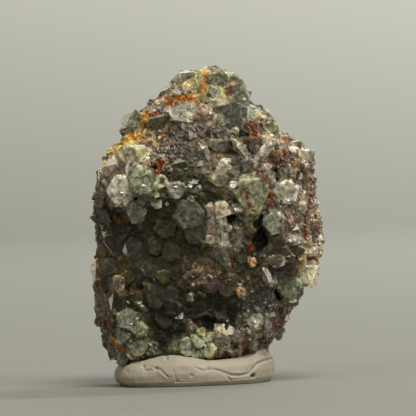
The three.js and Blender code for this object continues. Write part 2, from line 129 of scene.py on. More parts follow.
# Crystals of the front face in mm, as seen from the front:
# kind, x, z, width, height, turn in degrees, how far the middle stands out, tint
FACE_CRYSTALS = [
    ("hex", -4.2, 65.0, 4.6, 3.6, 10, 0.4, "cream_green"),
    ("square", -0.6, 65.2, 4.6, 3.8, 20, 0.4, "cream_green"),
    ("hex", 2.6, 64.6, 5.4, 4.6, 0, 0.3, "green"),
    ("hex", 5.6, 62.8, 5.2, 6.6, -15, 0.2, "green"),
    ("hex", 6.6, 59.6, 5.0, 6.6, 15, 0.2, "grey_green"),
    ("edge", -1.2, 62.4, 3.4, 4.2, 20, 0.6, "moss"),
    ("hex", 1.6, 62.0, 3.4, 3.2, 5, 0.5, "green"),
    ("chip", 4.8, 62.6, 3.0, 3.4, -10, 0.6, "peach"),
    ("hex", 4.4, 57.0, 5.6, 6.2, 0, 0.2, "grey_green"),
    ("edge", 7.4, 56.4, 3.4, 5.4, 8, 0.3, "grey_green"),
    ("hex", 2.0, 59.4, 2.6, 2.6, 0, 0.6, "cream"),
    ("hex", 3.4, 56.4, 3.2, 3.6, -8, 0.5, "green"),
    ("hex", 6.3, 55.6, 3.4, 2.8, 0, 0.4, "grey"),
    ("chip", -6.6, 64.0, 2.6, 2.0, 30, 0.3, "cream"),
    ("quartz", -8.2, 61.9, 2.0, 4.4, 65, 0.4, "brown"),
    ("chip", -3.9, 62.4, 2.6, 1.8, 0, 0.6, "cream"),
    ("chip", -9.9, 59.8, 2.4, 2.2, 0, 0.3, "cream"),
    ("chip", -11.6, 59.0, 1.8, 2.0, 0, 0.2, "pink"),
    ("square", -4.7, 57.7, 4.8, 4.4, 8, 1.2, "bright"),
    ("quartz", -7.6, 57.7, 1.3, 2.6, -35, 0.9, "white"),
    ("hex", -1.9, 59.4, 1.8, 1.8, 0, 0.8, "amber"),
    ("hex", -9.6, 55.4, 4.4, 3.6, 0, 0.2, "moss"),
    ("edge", -15.0, 55.2, 5.6, 6.4, 30, 0.7, "green"),
    ("chip", -12.2, 55.1, 1.4, 2.4, 0, 0.6, "amber"),
    ("chip", -12.0, 53.2, 2.2, 1.6, 0, 0.5, "cream_green"),
    ("chip", -10.8, 57.3, 2.6, 1.2, 25, 0.4, "rust"),
    ("chip", -15.2, 51.8, 4.4, 2.8, 5, 0.5, "yellow"),
    ("chip", -17.4, 50.8, 2.2, 2.4, 30, 0.5, "yellow"),
    ("hex", -12.4, 50.7, 3.4, 3.0, 0, 0.5, "pink"),
    ("hex", -15.0, 48.9, 6.2, 4.8, 10, 0.8, "cream_green"),
    ("chip", -17.6, 48.9, 2.6, 2.4, 0, 0.6, "cream"),
    ("hex", -18.8, 47.6, 4.0, 3.2, 0, 0.4, "cream"),
    ("hex", -21.0, 47.6, 1.9, 1.9, 0, 0.4, "honey"),
    ("chip", -20.2, 48.9, 1.5, 1.2, 0, 0.4, "honey"),
    ("hex", -18.5, 44.8, 6.2, 5.8, 0, 0.8, "pink"),
    ("chip", -22.2, 44.8, 1.4, 2.6, 0, 0.4, "white"),
    ("edge", -17.6, 41.4, 5.6, 5.4, 0, 1.6, "cream_clear"),
    ("hex", -20.9, 42.2, 2.6, 2.4, 0, 0.7, "grey"),
    ("hex", -13.0, 43.4, 5.6, 5.2, 22, 1.6, "bright_green"),
    ("chip", -12.3, 41.0, 4.0, 2.0, -5, 1.0, "grey"),
    ("edge", -15.6, 45.6, 2.4, 3.8, 15, 0.9, "cream"),
    ("chip", -10.8, 46.3, 2.0, 2.2, 0, 0.6, "rust"),
    ("chip", -9.0, 47.4, 2.0, 1.4, 0, 0.6, "rust"),
    ("chip", -8.2, 46.3, 1.6, 1.8, 0, 0.6, "milky"),
    ("hex", -5.6, 46.4, 3.4, 3.0, 0, 0.4, "moss"),
    ("hex", -6.3, 41.7, 3.2, 3.2, 15, 0.9, "white"),
    ("quartz", -3.4, 42.6, 0.8, 2.0, 35, 1.0, "milky"),
    ("quartz", -1.9, 41.8, 0.9, 2.2, 40, 1.0, "white"),
    ("chip", -3.1, 39.8, 1.6, 1.0, 0, 1.0, "white"),
    ("hex", -3.6, 36.8, 6.2, 6.6, 5, 1.0, "grey_green"),
    ("hex", -2.5, 32.6, 4.8, 4.2, 28, 1.2, "dark_green"),
    ("hex", -14.6, 37.3, 4.2, 4.6, 18, 0.8, "grey"),
    ("chip", -17.2, 38.2, 2.4, 1.8, 0, 0.8, "milky"),
    ("chip", -10.4, 38.6, 1.8, 1.4, 0, 0.8, "milky"),
    ("hex", -8.4, 33.9, 5.0, 4.4, 0, 0.7, "brown"),
    ("hex", -14.2, 28.8, 5.6, 6.2, 25, 1.0, "olive"),
    ("hex", -18.6, 30.4, 4.8, 4.6, 8, 0.6, "olive"),
    ("hex", -10.6, 30.0, 3.8, 4.2, -30, 0.4, "olive"),
    ("hex", -7.2, 28.9, 4.0, 4.2, 0, 0.6, "olive"),
    ("hex", -9.6, 26.4, 3.4, 3.0, 0, 0.6, "olive"),
    ("hex", -19.0, 25.4, 5.4, 4.0, 10, 0.5, "olive"),
    ("edge", -23.0, 24.4, 2.6, 5.0, 10, 0.1, "honey"),
    ("chip", -18.3, 21.7, 2.2, 3.2, 8, 0.9, "tan"),
    ("chip", -14.9, 21.3, 1.6, 2.0, 0, 0.4, "tan"),
    ("hex", -9.0, 23.6, 2.8, 2.8, 0, 0.7, "moss"),
    ("hex", -10.4, 19.6, 4.8, 4.8, 20, 0.8, "olive"),
    ("quartz", -14.0, 17.6, 1.0, 2.2, -50, 0.9, "grey"),
    ("hex", -21.0, 22.0, 3.0, 4.4, 0, 0.6, "olive"),
    ("edge", -18.6, 18.0, 3.2, 3.8, 10, 0.5, "olive"),
    ("edge", -16.2, 14.4, 4.4, 4.0, 20, 1.0, "bright_green"),
    ("hex", -14.0, 12.4, 3.0, 3.0, 0, 1.0, "green"),
    ("hex", -14.4, 8.6, 3.6, 3.2, 12, 1.0, "green"),
    ("chip", -16.6, 10.6, 2.4, 2.6, 0, 0.9, "grey_green"),
    ("chip", -17.3, 6.0, 3.4, 2.6, 10, 0.6, "milky"),
    ("hex", -15.4, 7.2, 2.6, 2.4, 0, 0.9, "green"),
    ("hex", -4.2, 9.4, 2.8, 2.8, 0, 1.3, "bright"),
    ("hex", -3.9, 7.9, 2.6, 2.2, 0, 1.3, "bright"),
    ("hex", -1.7, 10.0, 3.0, 2.8, 10, 1.3, "bright_green"),
    ("hex", -1.0, 11.9, 1.8, 1.6, 0, 1.3, "grey_green"),
    ("hex", 0.4, 8.2, 3.0, 2.8, 15, 1.3, "cream_green"),
    ("chip", -1.9, 7.4, 2.2, 1.8, 0, 1.3, "bright_green"),
    ("edge", -5.8, 16.0, 2.8, 3.6, 0, 0.6, "olive"),
    ("hex", -8.8, 14.8, 4.2, 4.0, 0, 0.5, "olive"),
    ("hex", -9.2, 10.4, 4.4, 4.0, 18, 0.3, "dark"),
    ("quartz", -3.2, 19.3, 2.2, 3.2, 0, 0.2, "tan"),
    ("hex", -4.4, 22.0, 3.0, 2.8, 0, 0.6, "plum"),
    ("chip", -3.8, 25.1, 2.6, 1.2, 0, 0.8, "plum"),
    ("chip", -0.6, 25.0, 2.2, 1.6, 0, 0.8, "plum"),
    ("hex", 1.0, 21.8, 3.4, 3.0, 10, 0.8, "plum"),
    ("hex", 4.2, 21.2, 3.8, 3.8, 0, 0.5, "brown"),
    ("hex", 2.6, 16.4, 3.0, 5.0, 0, 0.6, "dark"),
    ("hex", 5.8, 16.4, 2.8, 4.0, 0, 0.6, "dark"),
    ("chip", -3.0, 13.4, 2.6, 2.0, 0, 0.6, "brown"),
    ("chip", 2.6, 51.2, 3.8, 2.6, 5, 0.8, "cream_grey"),
    ("quartz", 6.1, 50.9, 1.1, 2.8, -20, 1.0, "white"),
    ("quartz", 7.9, 49.0, 1.9, 6.0, -32, 1.3, "cream_grey"),
    ("quartz", 0.0, 48.3, 2.2, 6.0, -28, 0.7, "cream_grey"),
    ("quartz", 3.2, 45.8, 2.2, 5.0, 30, 1.5, "cream"),
    ("hex", 2.6, 43.9, 3.6, 3.0, 0, 1.0, "cream_grey"),
    ("hex", 6.2, 47.6, 3.0, 2.4, 0, 0.6, "grey"),
    ("hex", 8.2, 46.9, 2.2, 2.2, 0, 0.8, "grey"),
    ("quartz", 11.5, 49.0, 1.8, 6.4, 42, 1.5, "white"),
    ("chip", 13.3, 50.7, 1.8, 1.6, 0, 0.6, "white"),
    ("hex", 14.2, 47.8, 3.8, 3.8, 0, 0.6, "plum"),
    ("quartz", 12.9, 44.6, 1.6, 5.0, -25, 1.2, "cream_grey"),
    ("hex", 9.3, 40.9, 6.4, 7.4, 12, 1.4, "green"),
    ("chip", 6.3, 42.4, 2.4, 1.6, 0, 1.6, "cream"),
    ("chip", 6.4, 37.7, 2.0, 1.6, 0, 1.4, "bright"),
    ("hex", 16.7, 41.4, 5.2, 4.4, 0, 1.2, "cream_clear"),
    ("chip", 16.8, 39.4, 1.9, 1.2, 0, 1.8, "white"),
    ("hex", 12.3, 39.0, 2.0, 2.2, 0, 1.2, "amber"),
    ("hex", 14.0, 35.0, 4.3, 4.4, 0, 1.6, "bright"),
    ("hex", 9.6, 35.1, 3.0, 4.2, 0, 0.9, "grey_green"),
    ("quartz", 6.3, 31.6, 3.6, 7.4, 0, 0.9, "grey_green"),
    ("chip", 3.2, 37.8, 3.0, 3.2, -20, 1.2, "cream"),
    ("quartz", 3.0, 33.6, 2.6, 8.6, -3, 1.5, "cream_grey"),
    ("chip", 4.5, 33.8, 1.2, 1.2, 0, 1.6, "white"),
    ("quartz", 1.2, 34.6, 2.2, 8.6, -5, 1.2, "pink"),
    ("chip", 0.9, 31.1, 1.8, 1.6, 0, 1.4, "cream_grey"),
    ("hex", 14.4, 30.3, 3.4, 4.0, 0, 0.9, "brown"),
    ("quartz", 17.9, 31.1, 2.1, 3.6, 80, 1.3, "white"),
    ("hex", 18.0, 28.9, 4.4, 2.4, 0, 1.0, "brown"),
    ("hex", 14.4, 26.8, 3.6, 2.4, 5, 1.4, "tan"),
    ("hex", 16.8, 25.9, 4.0, 4.0, 10, 0.6, "brown"),
    ("hex", 19.4, 26.7, 2.4, 2.2, 0, 1.6, "honey"),
    ("hex", 21.3, 24.4, 4.8, 6.6, 15, 1.9, "cream_clear"),
    ("chip", 21.8, 28.6, 3.6, 2.3, 10, 0.7, "cream"),
    ("square", 17.6, 21.3, 5.6, 5.4, -8, 1.4, "leaf_green"),
    ("chip", 17.9, 18.3, 2.6, 1.4, -30, 1.0, "cream"),
    ("quartz", 3.9, 27.0, 3.0, 7.4, -37, 1.1, "grey_green"),
    ("hex", 7.5, 27.3, 2.8, 2.4, 0, 0.8, "dark_green"),
    ("hex", 9.5, 26.6, 1.7, 1.8, 0, 0.9, "peach"),
    ("quartz", 12.5, 23.8, 1.7, 4.6, -25, 0.9, "cream_grey"),
    ("quartz", 14.1, 22.6, 1.2, 3.4, 0, 0.9, "milky"),
    ("edge", 7.1, 20.8, 2.1, 3.0, 5, 1.0, "honey"),
    ("hex", 8.6, 22.6, 1.8, 1.6, 0, 0.9, "amber"),
    ("hex", 10.6, 19.8, 3.2, 3.0, 0, 0.6, "dark_green"),
    ("hex", 10.0, 14.3, 3.3, 3.5, 10, 1.0, "white"),
    ("quartz", 12.5, 14.6, 2.0, 7.6, -5, 0.5, "milky"),
    ("chip", 8.3, 12.7, 1.4, 1.8, 0, 1.2, "rust"),
    ("hex", 15.6, 14.8, 3.2, 3.0, 0, 0.5, "rust_pink"),
    ("hex", 15.2, 11.6, 2.6, 3.2, 0, 0.4, "milky"),
    ("chip", 3.6, 12.1, 3.5, 1.8, 0, 1.3, "cream"),
    ("hex", 3.3, 9.8, 3.4, 3.0, 0, 1.0, "cream_grey"),
    ("hex", 6.5, 10.8, 3.2, 2.8, -30, 1.0, "grey_green"),
    ("hex", 5.7, 8.2, 3.5, 2.7, 0, 1.0, "tan"),
    ("chip", 2.6, 7.8, 2.2, 2.0, 0, 1.2, "pink"),
    ("chip", 7.4, 6.7, 3.6, 1.5, 0, 0.8, "honey"),
    ("quartz", 9.8, 9.8, 1.6, 4.3, 0, 0.9, "cream_grey"),
    ("chip", 12.5, 57.2, 3.1, 2.5, -30, 0.2, "cream"),
    ("hex", 13.2, 54.5, 3.8, 3.6, 0, 0.4, "green"),
    ("hex", 11.0, 55.9, 2.4, 2.6, 0, 0.4, "tan"),
    ("chip", 9.5, 54.7, 2.3, 3.0, 15, 0.6, "rust_pink"),
    ("hex", 16.4, 52.0, 3.0, 2.5, 0, 0.2, "pink"),
    ("hex", 19.0, 50.9, 3.2, 2.2, 0, 0.1, "cream_green"),
    ("hex", 21.0, 48.9, 3.6, 2.6, 15, 0.1, "cream"),
    ("hex", 20.0, 46.4, 3.8, 3.4, 0, 0.4, "tan"),
    ("hex", 18.8, 44.6, 2.6, 2.4, 0, 0.6, "plum"),
    ("chip", 16.4, 45.0, 2.4, 3.1, 0, 0.7, "cream_grey"),
    ("hex", 20.0, 38.2, 2.6, 2.6, 0, 0.6, "cream"),
    ("chip", 22.4, 38.8, 1.6, 1.6, 0, 0.4, "white"),
    ("hex", 22.9, 36.9, 2.2, 2.2, 0, 0.3, "peach"),
    ("quartz", 17.0, 35.8, 1.4, 4.4, -25, 1.2, "pink"),
    ("chip", 22.3, 33.7, 3.1, 3.1, 0, 0.2, "rust_pink"),
    ("chip", 24.0, 31.0, 1.2, 3.4, 0, 0.1, "cream"),
    ("hex", 0.9, 53.3, 2.2, 2.4, 0, 0.6, "dark_green"),
    ("hex", 3.6, 53.2, 3.0, 2.4, 0, 0.5, "grey"),
    ("chip", -0.6, 56.8, 3.4, 2.5, 10, 0.6, "pink"),
    ("hex", 6.0, 54.0, 1.6, 1.6, 0, 0.8, "cream_green"),
    ("chip", 0.9, 57.6, 1.4, 1.0, 0, 0.9, "white"),
]

# Which tints stand where on the front, in mm: x, z, reach across, reach up, share of fine grains, tints
# Where the dark tint rules, it is mostly painted shade of the pockets, the hollows and the ledges
ZONES = [
    (3, 63, 6, 4, 0.4, "green green grey_green green moss cream_green"),
    (-4, 64.5, 4, 2.5, 0.7, "cream cream cream_green peach olive"),
    (0, 63, 1.5, 2.5, 0.7, "amber moss olive moss"),
    (6, 58, 4, 5, 0.3, "grey_green green green grey_green"),
    (5, 62, 1.6, 2, 0.8, "peach pink brown"),
    (-6, 60.3, 4, 0.9, 0.8, "orange rust amber brown"),
    (-8, 58.5, 3, 1.5, 0.7, "white cream tan brown"),
    (-9.5, 55.2, 2.6, 2, 0.4, "olive brown dark olive"),
    (-15, 55.5, 2.5, 3, 0.3, "green grey_green olive honey"),
    (-15, 51.8, 4.4, 1.9, 0.8, "yellow honey yellow cream"),
    (-15, 48.3, 5, 2.4, 0.7, "cream_green cream cream pink"),
    (-19, 48, 3, 2, 0.8, "cream honey tan"),
    (-18.5, 45, 3, 2, 0.9, "plum brown dark pink"),
    (-4.5, 53, 5, 4, 1.0, "plum plum grey pink dark plum milky"),
    (-1.5, 57, 2.6, 2, 0.9, "pink cream pink tan"),
    (-10, 46.2, 2.5, 1.6, 0.9, "rust brown dark grey"),
    (-6, 45, 5, 4, 0.6, "dark dark grey dark olive"),
    (-15.5, 42, 5, 2.4, 0.6, "cream_green bright grey grey"),
    (-23.4, 36, 2.2, 7, 0.35, "plum dark plum grey"),
    (-22.5, 12, 3, 9, 0.5, "plum grey dark milky plum"),
    (-12, 30, 9, 9, 0.3, "olive olive dark dark brown dark dark"),
    (-20, 24, 3, 5, 0.35, "olive honey moss dark"),
    (-14, 20, 4, 2.5, 0.5, "dark dark tan dark"),
    (-8, 14, 8, 7, 0.3, "olive dark dark dark dark"),
    (-15, 11, 3, 5, 0.6, "green bright grey_green milky"),
    (-2, 9, 4, 2.5, 0.5, "bright green cream_green"),
    (1.5, 15, 4.5, 6, 0.4, "dark dark dark dark"),
    (-1, 23.5, 4, 2.4, 0.9, "pink plum grey brown dark"),
    (-1, 40, 5, 5, 0.5, "dark grey_green dark olive"),
    (-3, 34, 4, 5, 0.4, "dark_green grey olive dark"),
    (3, 48, 5, 4, 0.7, "grey cream_grey pink dark dark"),
    (9, 53.4, 3, 2.5, 0.9, "brown brown tan dark rust"),
    (13.5, 55, 3, 3, 0.65, "green cream tan plum cream"),
    (19, 50, 5, 3, 0.7, "cream_green tan plum pink tan"),
    (15, 48.5, 3, 2, 0.9, "brown plum plum dark"),
    (11, 47, 4, 3, 0.7, "grey dark pink dark"),
    (20, 43, 4, 5, 0.8, "tan brown plum pink tan"),
    (12.5, 42, 1.8, 5, 1.0, "brown plum pink tan"),
    (8, 41, 3.5, 4, 0.5, "grey_green green dark_green"),
    (16.5, 41.5, 3, 2.5, 0.6, "cream bright white grey"),
    (18, 36, 3, 4, 0.85, "pink plum milky pink dark"),
    (22, 34, 3, 6, 0.75, "tan brown plum cream"),
    (4, 34, 3, 5, 0.7, "pink cream_grey brown grey_green"),
    (11, 32, 3, 5, 0.5, "dark dark dark"),
    (15, 28.5, 4, 3, 0.4, "brown brown tan dark"),
    (21, 26, 3, 4, 0.7, "cream tan honey cream"),
    (17.5, 21.4, 3, 3, 0.6, "leaf_green dark_green plum"),
    (6, 25, 4, 4, 0.6, "dark grey_green brown dark"),
    (9, 20, 4, 4, 0.7, "dark amber grey milky dark dark"),
    (12.5, 14, 2.5, 5, 0.7, "milky grey dark grey"),
    (16, 13.5, 2.5, 3, 0.9, "plum rust_pink pink brown"),
    (8.8, 13, 2, 2, 0.7, "milky grey white"),
    (5, 9, 4, 2.5, 0.6, "tan pink pink brown"),
    (8, 6.5, 3, 1, 0.8, "honey amber tan"),
]
# What stands on the flanks and the back, in patches
BACK_ZONES = [
    (0.7, "plum grey pink dark plum milky"),
    (0.4, "olive moss dark brown dark"),
    (0.6, "cream tan cream_grey pink brown"),
    (0.6, "green grey_green dark_green grey dark"),
]

# Iron stains on the front, in mm: tint, width of the stain, then the points it runs through
STAINS = [
    ("orange", 0.7, (0.2, 65.9), (0.2, 65.2)),
    ("orange", 0.7, (-0.3, 65.0), (-1.2, 62.5)),
    ("orange", 1.5, (-8.3, 60.0), (-5.6, 60.3), (-3.0, 60.9)),
    ("rust", 0.8, (-7.6, 60.0), (-3.4, 60.8)),
    ("amber", 0.7, (-2.0, 60.3), (-1.0, 60.2)),
    ("rust", 0.6, (4.1, 62.0), (4.5, 61.4)),
    ("rust", 0.6, (-12.2, 57.6), (-11.0, 57.3), (-9.9, 57.8)),
    ("orange", 1.1, (-18.4, 51.4), (-17.0, 51.7)),
    ("yellow", 1.6, (-18.6, 50.4), (-16.6, 51.6), (-13.6, 52.4)),
    ("yellow", 1.2, (-21.2, 48.7), (-19.4, 49.8)),
    ("orange", 0.6, (-13.9, 56.9), (-12.6, 57.4)),
    ("amber", 0.8, (-12.3, 55.6), (-12.2, 54.2)),
    ("orange", 0.7, (-16.4, 53.2), (-14.6, 52.9)),
    ("rust", 0.7, (-9.3, 52.9), (-9.3, 52.2)),
    ("rust", 1.5, (-11.2, 47.0), (-10.3, 45.2)),
    ("rust", 0.7, (-9.6, 47.6), (-8.6, 46.8)),
    ("rust", 0.5, (5.2, 56.3), (5.2, 55.8)),
    ("rust", 0.6, (-21.4, 31.8), (-21.2, 30.6)),
    ("rust", 0.6, (-19.2, 35.5), (-18.6, 34.5)),
    ("amber", 0.5, (-17.4, 37.0), (-17.1, 36.6)),
    ("amber", 0.5, (-21.5, 27.9), (-21.4, 27.3)),
    ("amber", 0.5, (-20.2, 20.0), (-19.8, 19.3)),
    ("amber", 0.6, (-17.3, 18.0), (-16.7, 17.4)),
    ("rust", 0.6, (-14.7, 20.8), (-14.4, 20.0)),
    ("orange", 0.7, (-20.0, 10.7), (-19.0, 9.0), (-17.3, 7.5)),
    ("rust", 0.5, (-21.1, 13.8), (-20.9, 13.0)),
    ("rust", 0.6, (-3.6, 13.6), (-2.4, 13.4)),
    ("rust", 0.5, (-0.2, 24.9), (0.3, 24.5)),
    ("rust", 0.7, (8.6, 55.6), (9.5, 55.2), (10.1, 54.0), (9.9, 52.8)),
    ("rust", 0.5, (12.2, 56.0), (12.8, 56.0)),
    ("rust", 0.8, (14.5, 50.0), (14.9, 48.9)),
    ("orange", 0.7, (14.7, 49.6), (15.2, 48.7)),
    ("rust", 0.6, (16.5, 49.8), (16.2, 48.4)),
    ("rust", 0.6, (14.6, 47.8), (15.1, 47.3)),
    ("rust", 0.5, (18.1, 48.0), (18.3, 47.4)),
    ("rust", 0.5, (0.7, 50.2), (0.9, 48.8)),
    ("rust", 0.7, (9.3, 46.7), (11.0, 44.7), (13.0, 42.7)),
    ("rust", 0.6, (13.0, 42.7), (13.4, 40.0), (13.3, 38.5)),
    ("rust", 0.6, (17.9, 43.8), (18.5, 43.4)),
    ("rust", 0.8, (8.0, 41.8), (8.6, 39.8), (9.2, 37.8)),
    ("orange", 0.4, (8.9, 37.3), (9.0, 36.9)),
    ("rust", 0.6, (21.9, 41.7), (21.4, 38.0), (20.7, 35.5), (20.6, 33.0), (21.2, 31.6)),
    ("rust", 0.5, (15.3, 35.8), (15.6, 35.0)),
    ("rust", 0.6, (8.8, 31.9), (9.2, 29.0)),
    ("rust", 0.5, (5.2, 27.8), (5.4, 27.2)),
    ("rust", 0.5, (4.5, 24.9), (4.6, 24.2)),
    ("orange", 0.4, (8.9, 27.4), (9.1, 26.9)),
    ("rust", 0.4, (12.2, 22.6), (12.4, 22.1)),
    ("rust", 0.6, (21.4, 27.3), (22.8, 27.4)),
    ("rust", 1.0, (8.2, 13.0), (8.0, 11.2)),
    ("rust", 0.6, (8.0, 11.0), (7.7, 9.3)),
    ("rust", 0.7, (14.2, 14.4), (13.7, 12.2), (13.1, 10.0)),
    ("rust", 0.7, (15.0, 15.9), (15.9, 15.6)),
    ("rust", 0.7, (16.2, 14.2), (16.8, 13.4)),
    ("rust", 0.6, (12.0, 9.3), (13.5, 9.3)),
    ("amber", 0.7, (5.2, 6.6), (8.6, 6.6)),
]

# Facets that catch the light, in mm: x, z, width
GLINTS = [
    (8.0, 60.7, 0.9), (-6.6, 63.7, 0.7), (-5.2, 62.0, 0.7), (-8.0, 58.0, 0.9), (-7.4, 57.4, 0.9),
    (10.3, 58.3, 0.6), (14.0, 56.7, 0.7), (0.9, 57.7, 0.6), (-17.7, 41.3, 1.2), (-17.0, 40.6, 0.9),
    (-13.0, 42.7, 1.0), (-15.8, 13.7, 1.1), (-14.7, 14.7, 0.7), (14.0, 21.3, 0.6), (15.9, 33.3, 0.9),
    (1.0, 23.5, 0.5), (-2.7, 8.5, 0.6), (-0.3, 9.0, 0.6), (-13.9, 18.0, 0.9), (-6.4, 42.3, 0.7),
    (-3.4, 42.4, 0.8), (-22.2, 45.6, 0.9), (17.0, 39.6, 1.1), (17.6, 31.0, 0.9), (9.4, 37.0, 0.8),
    (22.0, 27.0, 0.8), (21.3, 25.6, 0.9), (6.1, 37.6, 0.8), (-3.2, 19.8, 0.6), (10.2, 14.0, 0.8),
]


def srgb(hex_value):
    """A linear colour with full alpha from an sRGB hex value such as #8f9c80."""
    channels = [int(hex_value[i:i + 2], 16) / 255 for i in (1, 3, 5)]
    linear = [c / 12.92 if c <= 0.04045 else ((c + 0.055) / 1.055) ** 2.4 for c in channels]
    return (*linear, 1.0)


def tint(name, description, hex_value):
    """A colour property that a user can change in the sidebar."""
    return bpy.props.FloatVectorProperty(
        name=name, description=description, subtype="COLOR", size=4, min=0, max=1,
        default=srgb(hex_value))


def millimetres(name, description, default):
    """A length property in millimetres."""
    return bpy.props.FloatProperty(name=name, description=description, default=default, min=0)


class SpecimenColours(bpy.types.PropertyGroup):
    """Tints of the crystals, the stains, the putty and the stage."""
    green: tint("Green", "Pale green fluorite", "#a1a584")
    leaf_green: tint("Leaf green", "Stronger green fluorite", "#78816a")
    bright_green: tint("Bright green", "Clear pale green fluorite", "#a4ab8f")
    bright: tint("Bright", "Almost colourless fluorite", "#bec2b1")
    cream_clear: tint("Clear cream", "Almost colourless fluorite with a warm cast", "#e9e6d4")
    cream_green: tint("Cream green", "Cloudy yellow-green fluorite", "#cdcdab")
    cream: tint("Cream", "Cloudy cream fluorite", "#e8e0ca")
    cream_grey: tint("Cream grey", "Cloudy warm grey quartz", "#9f9a86")
    grey: tint("Grey", "Cloudy grey fluorite", "#6f6d5c")
    grey_green: tint("Grey green", "Clear grey-green fluorite", "#63664f")
    dark_green: tint("Dark green", "Smoky green fluorite", "#414634")
    olive: tint("Olive", "Brownish green fluorite in the shade", "#474422")
    moss: tint("Moss", "Yellowish green fluorite", "#6c6535")
    brown: tint("Brown", "Smoky brown fluorite", "#564727")
    # Partly dark crystal and partly painted shade: this near-black tint is laid in the pockets and hollows and
    # under the ledges
    dark: tint("Dark", "Almost black crystal deep in the pockets", "#0e0d05")
    plum: tint("Plum", "Grey-purple fine crystal", "#624f48")
    pink: tint("Pink", "Pinkish grey quartz", "#bb9e90")
    rust_pink: tint("Rust pink", "Quartz with red iron stain", "#94674f")
    peach: tint("Peach", "Quartz with light iron stain", "#c09c76")
    honey: tint("Honey", "Yellow-brown stained fluorite", "#c8a466")
    amber: tint("Amber", "Brown-yellow stain", "#6e4c18")
    yellow: tint("Yellow", "Cream crystal with yellow stain", "#cfab50")
    white: tint("White", "Clear white quartz", "#d4cfc2")
    milky: tint("Milky", "Bluish grey milky quartz", "#999997")
    tan: tint("Tan", "Light brown quartz", "#917f63")
    rust: tint("Rust", "Red-brown iron stain", "#6c2f08")
    orange: tint("Orange", "Orange iron stain", "#b4701e")
    putty: tint("Putty", "Warm grey mounting putty", "#938c7c")
    stage: tint("Stage", "Floor and backdrop", "#bdbdb7")


class SpecimenSizes(bpy.types.PropertyGroup):
    """Sizes of the crystals, in millimetres."""
    flank: millimetres("Flank crystals", "Mean width of the crystals of the flanks and the back", 3.8)
    middle: millimetres("Middle crystals", "Mean width of the crystals between the large ones", 2.8)
    grain: millimetres("Grains", "Mean width of the finest grains", 0.62)
    stain_lump: millimetres("Stain lumps", "Mean width of the lumps of iron stain", 0.36)


def colours():
    return bpy.context.scene.specimen_colours


def sizes():
    return bpy.context.scene.specimen_sizes


# The rock's form in mm

# How close to the outline's side the front face is still drawn, as a share of its half width
SIDE_LIMIT = 0.985


def row_at(z):
    """Left edge, right edge, front reach and back reach at a height."""
    columns = list(zip(*ROCK_ROWS))
    return [float(np.interp(z, columns[0], column)) for column in columns[1:]]


def relief_at(x, z):
    """How far the front's swells stand out, or its hollows lie back."""
    return sum(swell * math.exp(-((x - mx) ** 2 + (z - mz) ** 2) / radius ** 2)
               for mx, mz, radius, swell in FRONT_RELIEF)


def front_at(x, z):
    """Depth of the rock's front face behind a point seen from the front."""
    left, right, front, _ = row_at(z)
    half_width = (right - left) / 2 - SKIN_DEPTH
    share = min(abs(x - (left + right) / 2) / half_width, SIDE_LIMIT)
    fall = (1 - share ** SQUARENESS) ** (1 / SQUARENESS)
    return -(front + relief_at(x, z) - SKIN_DEPTH) * fall


def power(value, exponent):
    return math.copysign(abs(value) ** exponent, value)


def rock_point(z, angle, inset, close):
    """A point of the rock's skin; close shrinks its ring towards the pole."""
    left, right, front, back = row_at(z)
    half_width = max((right - left) / 2 - inset, LEAST_REACH) * close
    x = (left + right) / 2 + half_width * power(math.cos(angle), 2 / SQUARENESS)
    reach = front + relief_at(x, z) if math.sin(angle) < 0 else back
    y = max(reach - inset, LEAST_REACH) * close * power(math.sin(angle), 2 / SQUARENESS)
    return x, y, z


# A pocket's half width to its drawn width; how far its rim wanders, in mm, and how often in a mm
POCKET_HALF = 0.55
RIM_WANDER = 1.3
RIM_BENDS = 0.45


def pocket_depth(x, z):
    """How far the open pockets reach in behind a point seen from the front."""
    bend = noise.noise_vector(Vector((x, 0, z)) * RIM_BENDS)
    x, z = x + bend.x * RIM_WANDER, z + bend.z * RIM_WANDER
    depth = 0
    for mx, mz, width, height, deep in POCKETS:
        away = ((x - mx) / (width * POCKET_HALF)) ** 2 + ((z - mz) / (height * POCKET_HALF)) ** 2
        if away < 1:
            depth = max(depth, deep * (1 - away ** 1.5))
    return depth


def in_pocket(spot):
    return spot[1] < 0 and pocket_depth(spot[0], spot[2]) > 0


# The front's zones fade out from this depth behind the middle forwards, over this run, in mm
FADE_DEPTH = 2.0
FADE_RUN = 3.0
# The patches of the back: how often they change in a mm, how far apart their noises lie, how sharp their rims are
PATCH_BENDS = 0.11
PATCH_SHIFT = 31.7
PATCH_CONTRAST = 9
ZONE_CONTRAST = 1.5


def zone_table(points):
    """How strongly each zone of the front, and each kind of flank, rules at each point."""
    points = np.asarray(points)
    x, y, z = points.T
    front = np.clip((FADE_DEPTH - y) / FADE_RUN, 0, 1)
    weights = [np.exp(-((x - mx) / rx) ** 2 - ((z - mz) / rz) ** 2) * front
               for mx, mz, rx, rz, _, _ in ZONES]
    shifts = [Vector((PATCH_SHIFT * kind, 0, 0)) for kind in range(len(BACK_ZONES))]
    patches = np.array([[noise.noise(Vector(point) * PATCH_BENDS + shift) for shift in shifts]
                        for point in points])
    weights += [(1.0 - front) * np.exp(PATCH_CONTRAST * patch) + 0.0005 for patch in patches.T]
    weights = np.array(weights).T ** ZONE_CONTRAST
    return weights / weights.sum(1)[:, None]


ALL_ZONES = [zone[4:] for zone in ZONES] + BACK_ZONES


def drawn_tints(points, generator):
    """A tint name and the share of fine grains for each point, drawn by its zones."""
    table = np.cumsum(zone_table(points), axis=1)
    picks = (generator.random(len(points))[:, None] > table).sum(1)
    names = []
    for pick in picks:
        choices = ALL_ZONES[pick][1].split()
        names.append(choices[generator.integers(len(choices))])
    return names, np.array([ALL_ZONES[pick][0] for pick in picks])


def tint_of(name):
    """A tint as a linear colour without alpha."""
    return np.array(getattr(colours(), name)[:3])


def zone_colours(points):
    """The mean colour of the zones at each point."""
    means = [np.mean([tint_of(name) for name in names.split()], axis=0) for _, names in ALL_ZONES]
    return zone_table(points) @ np.array(means)


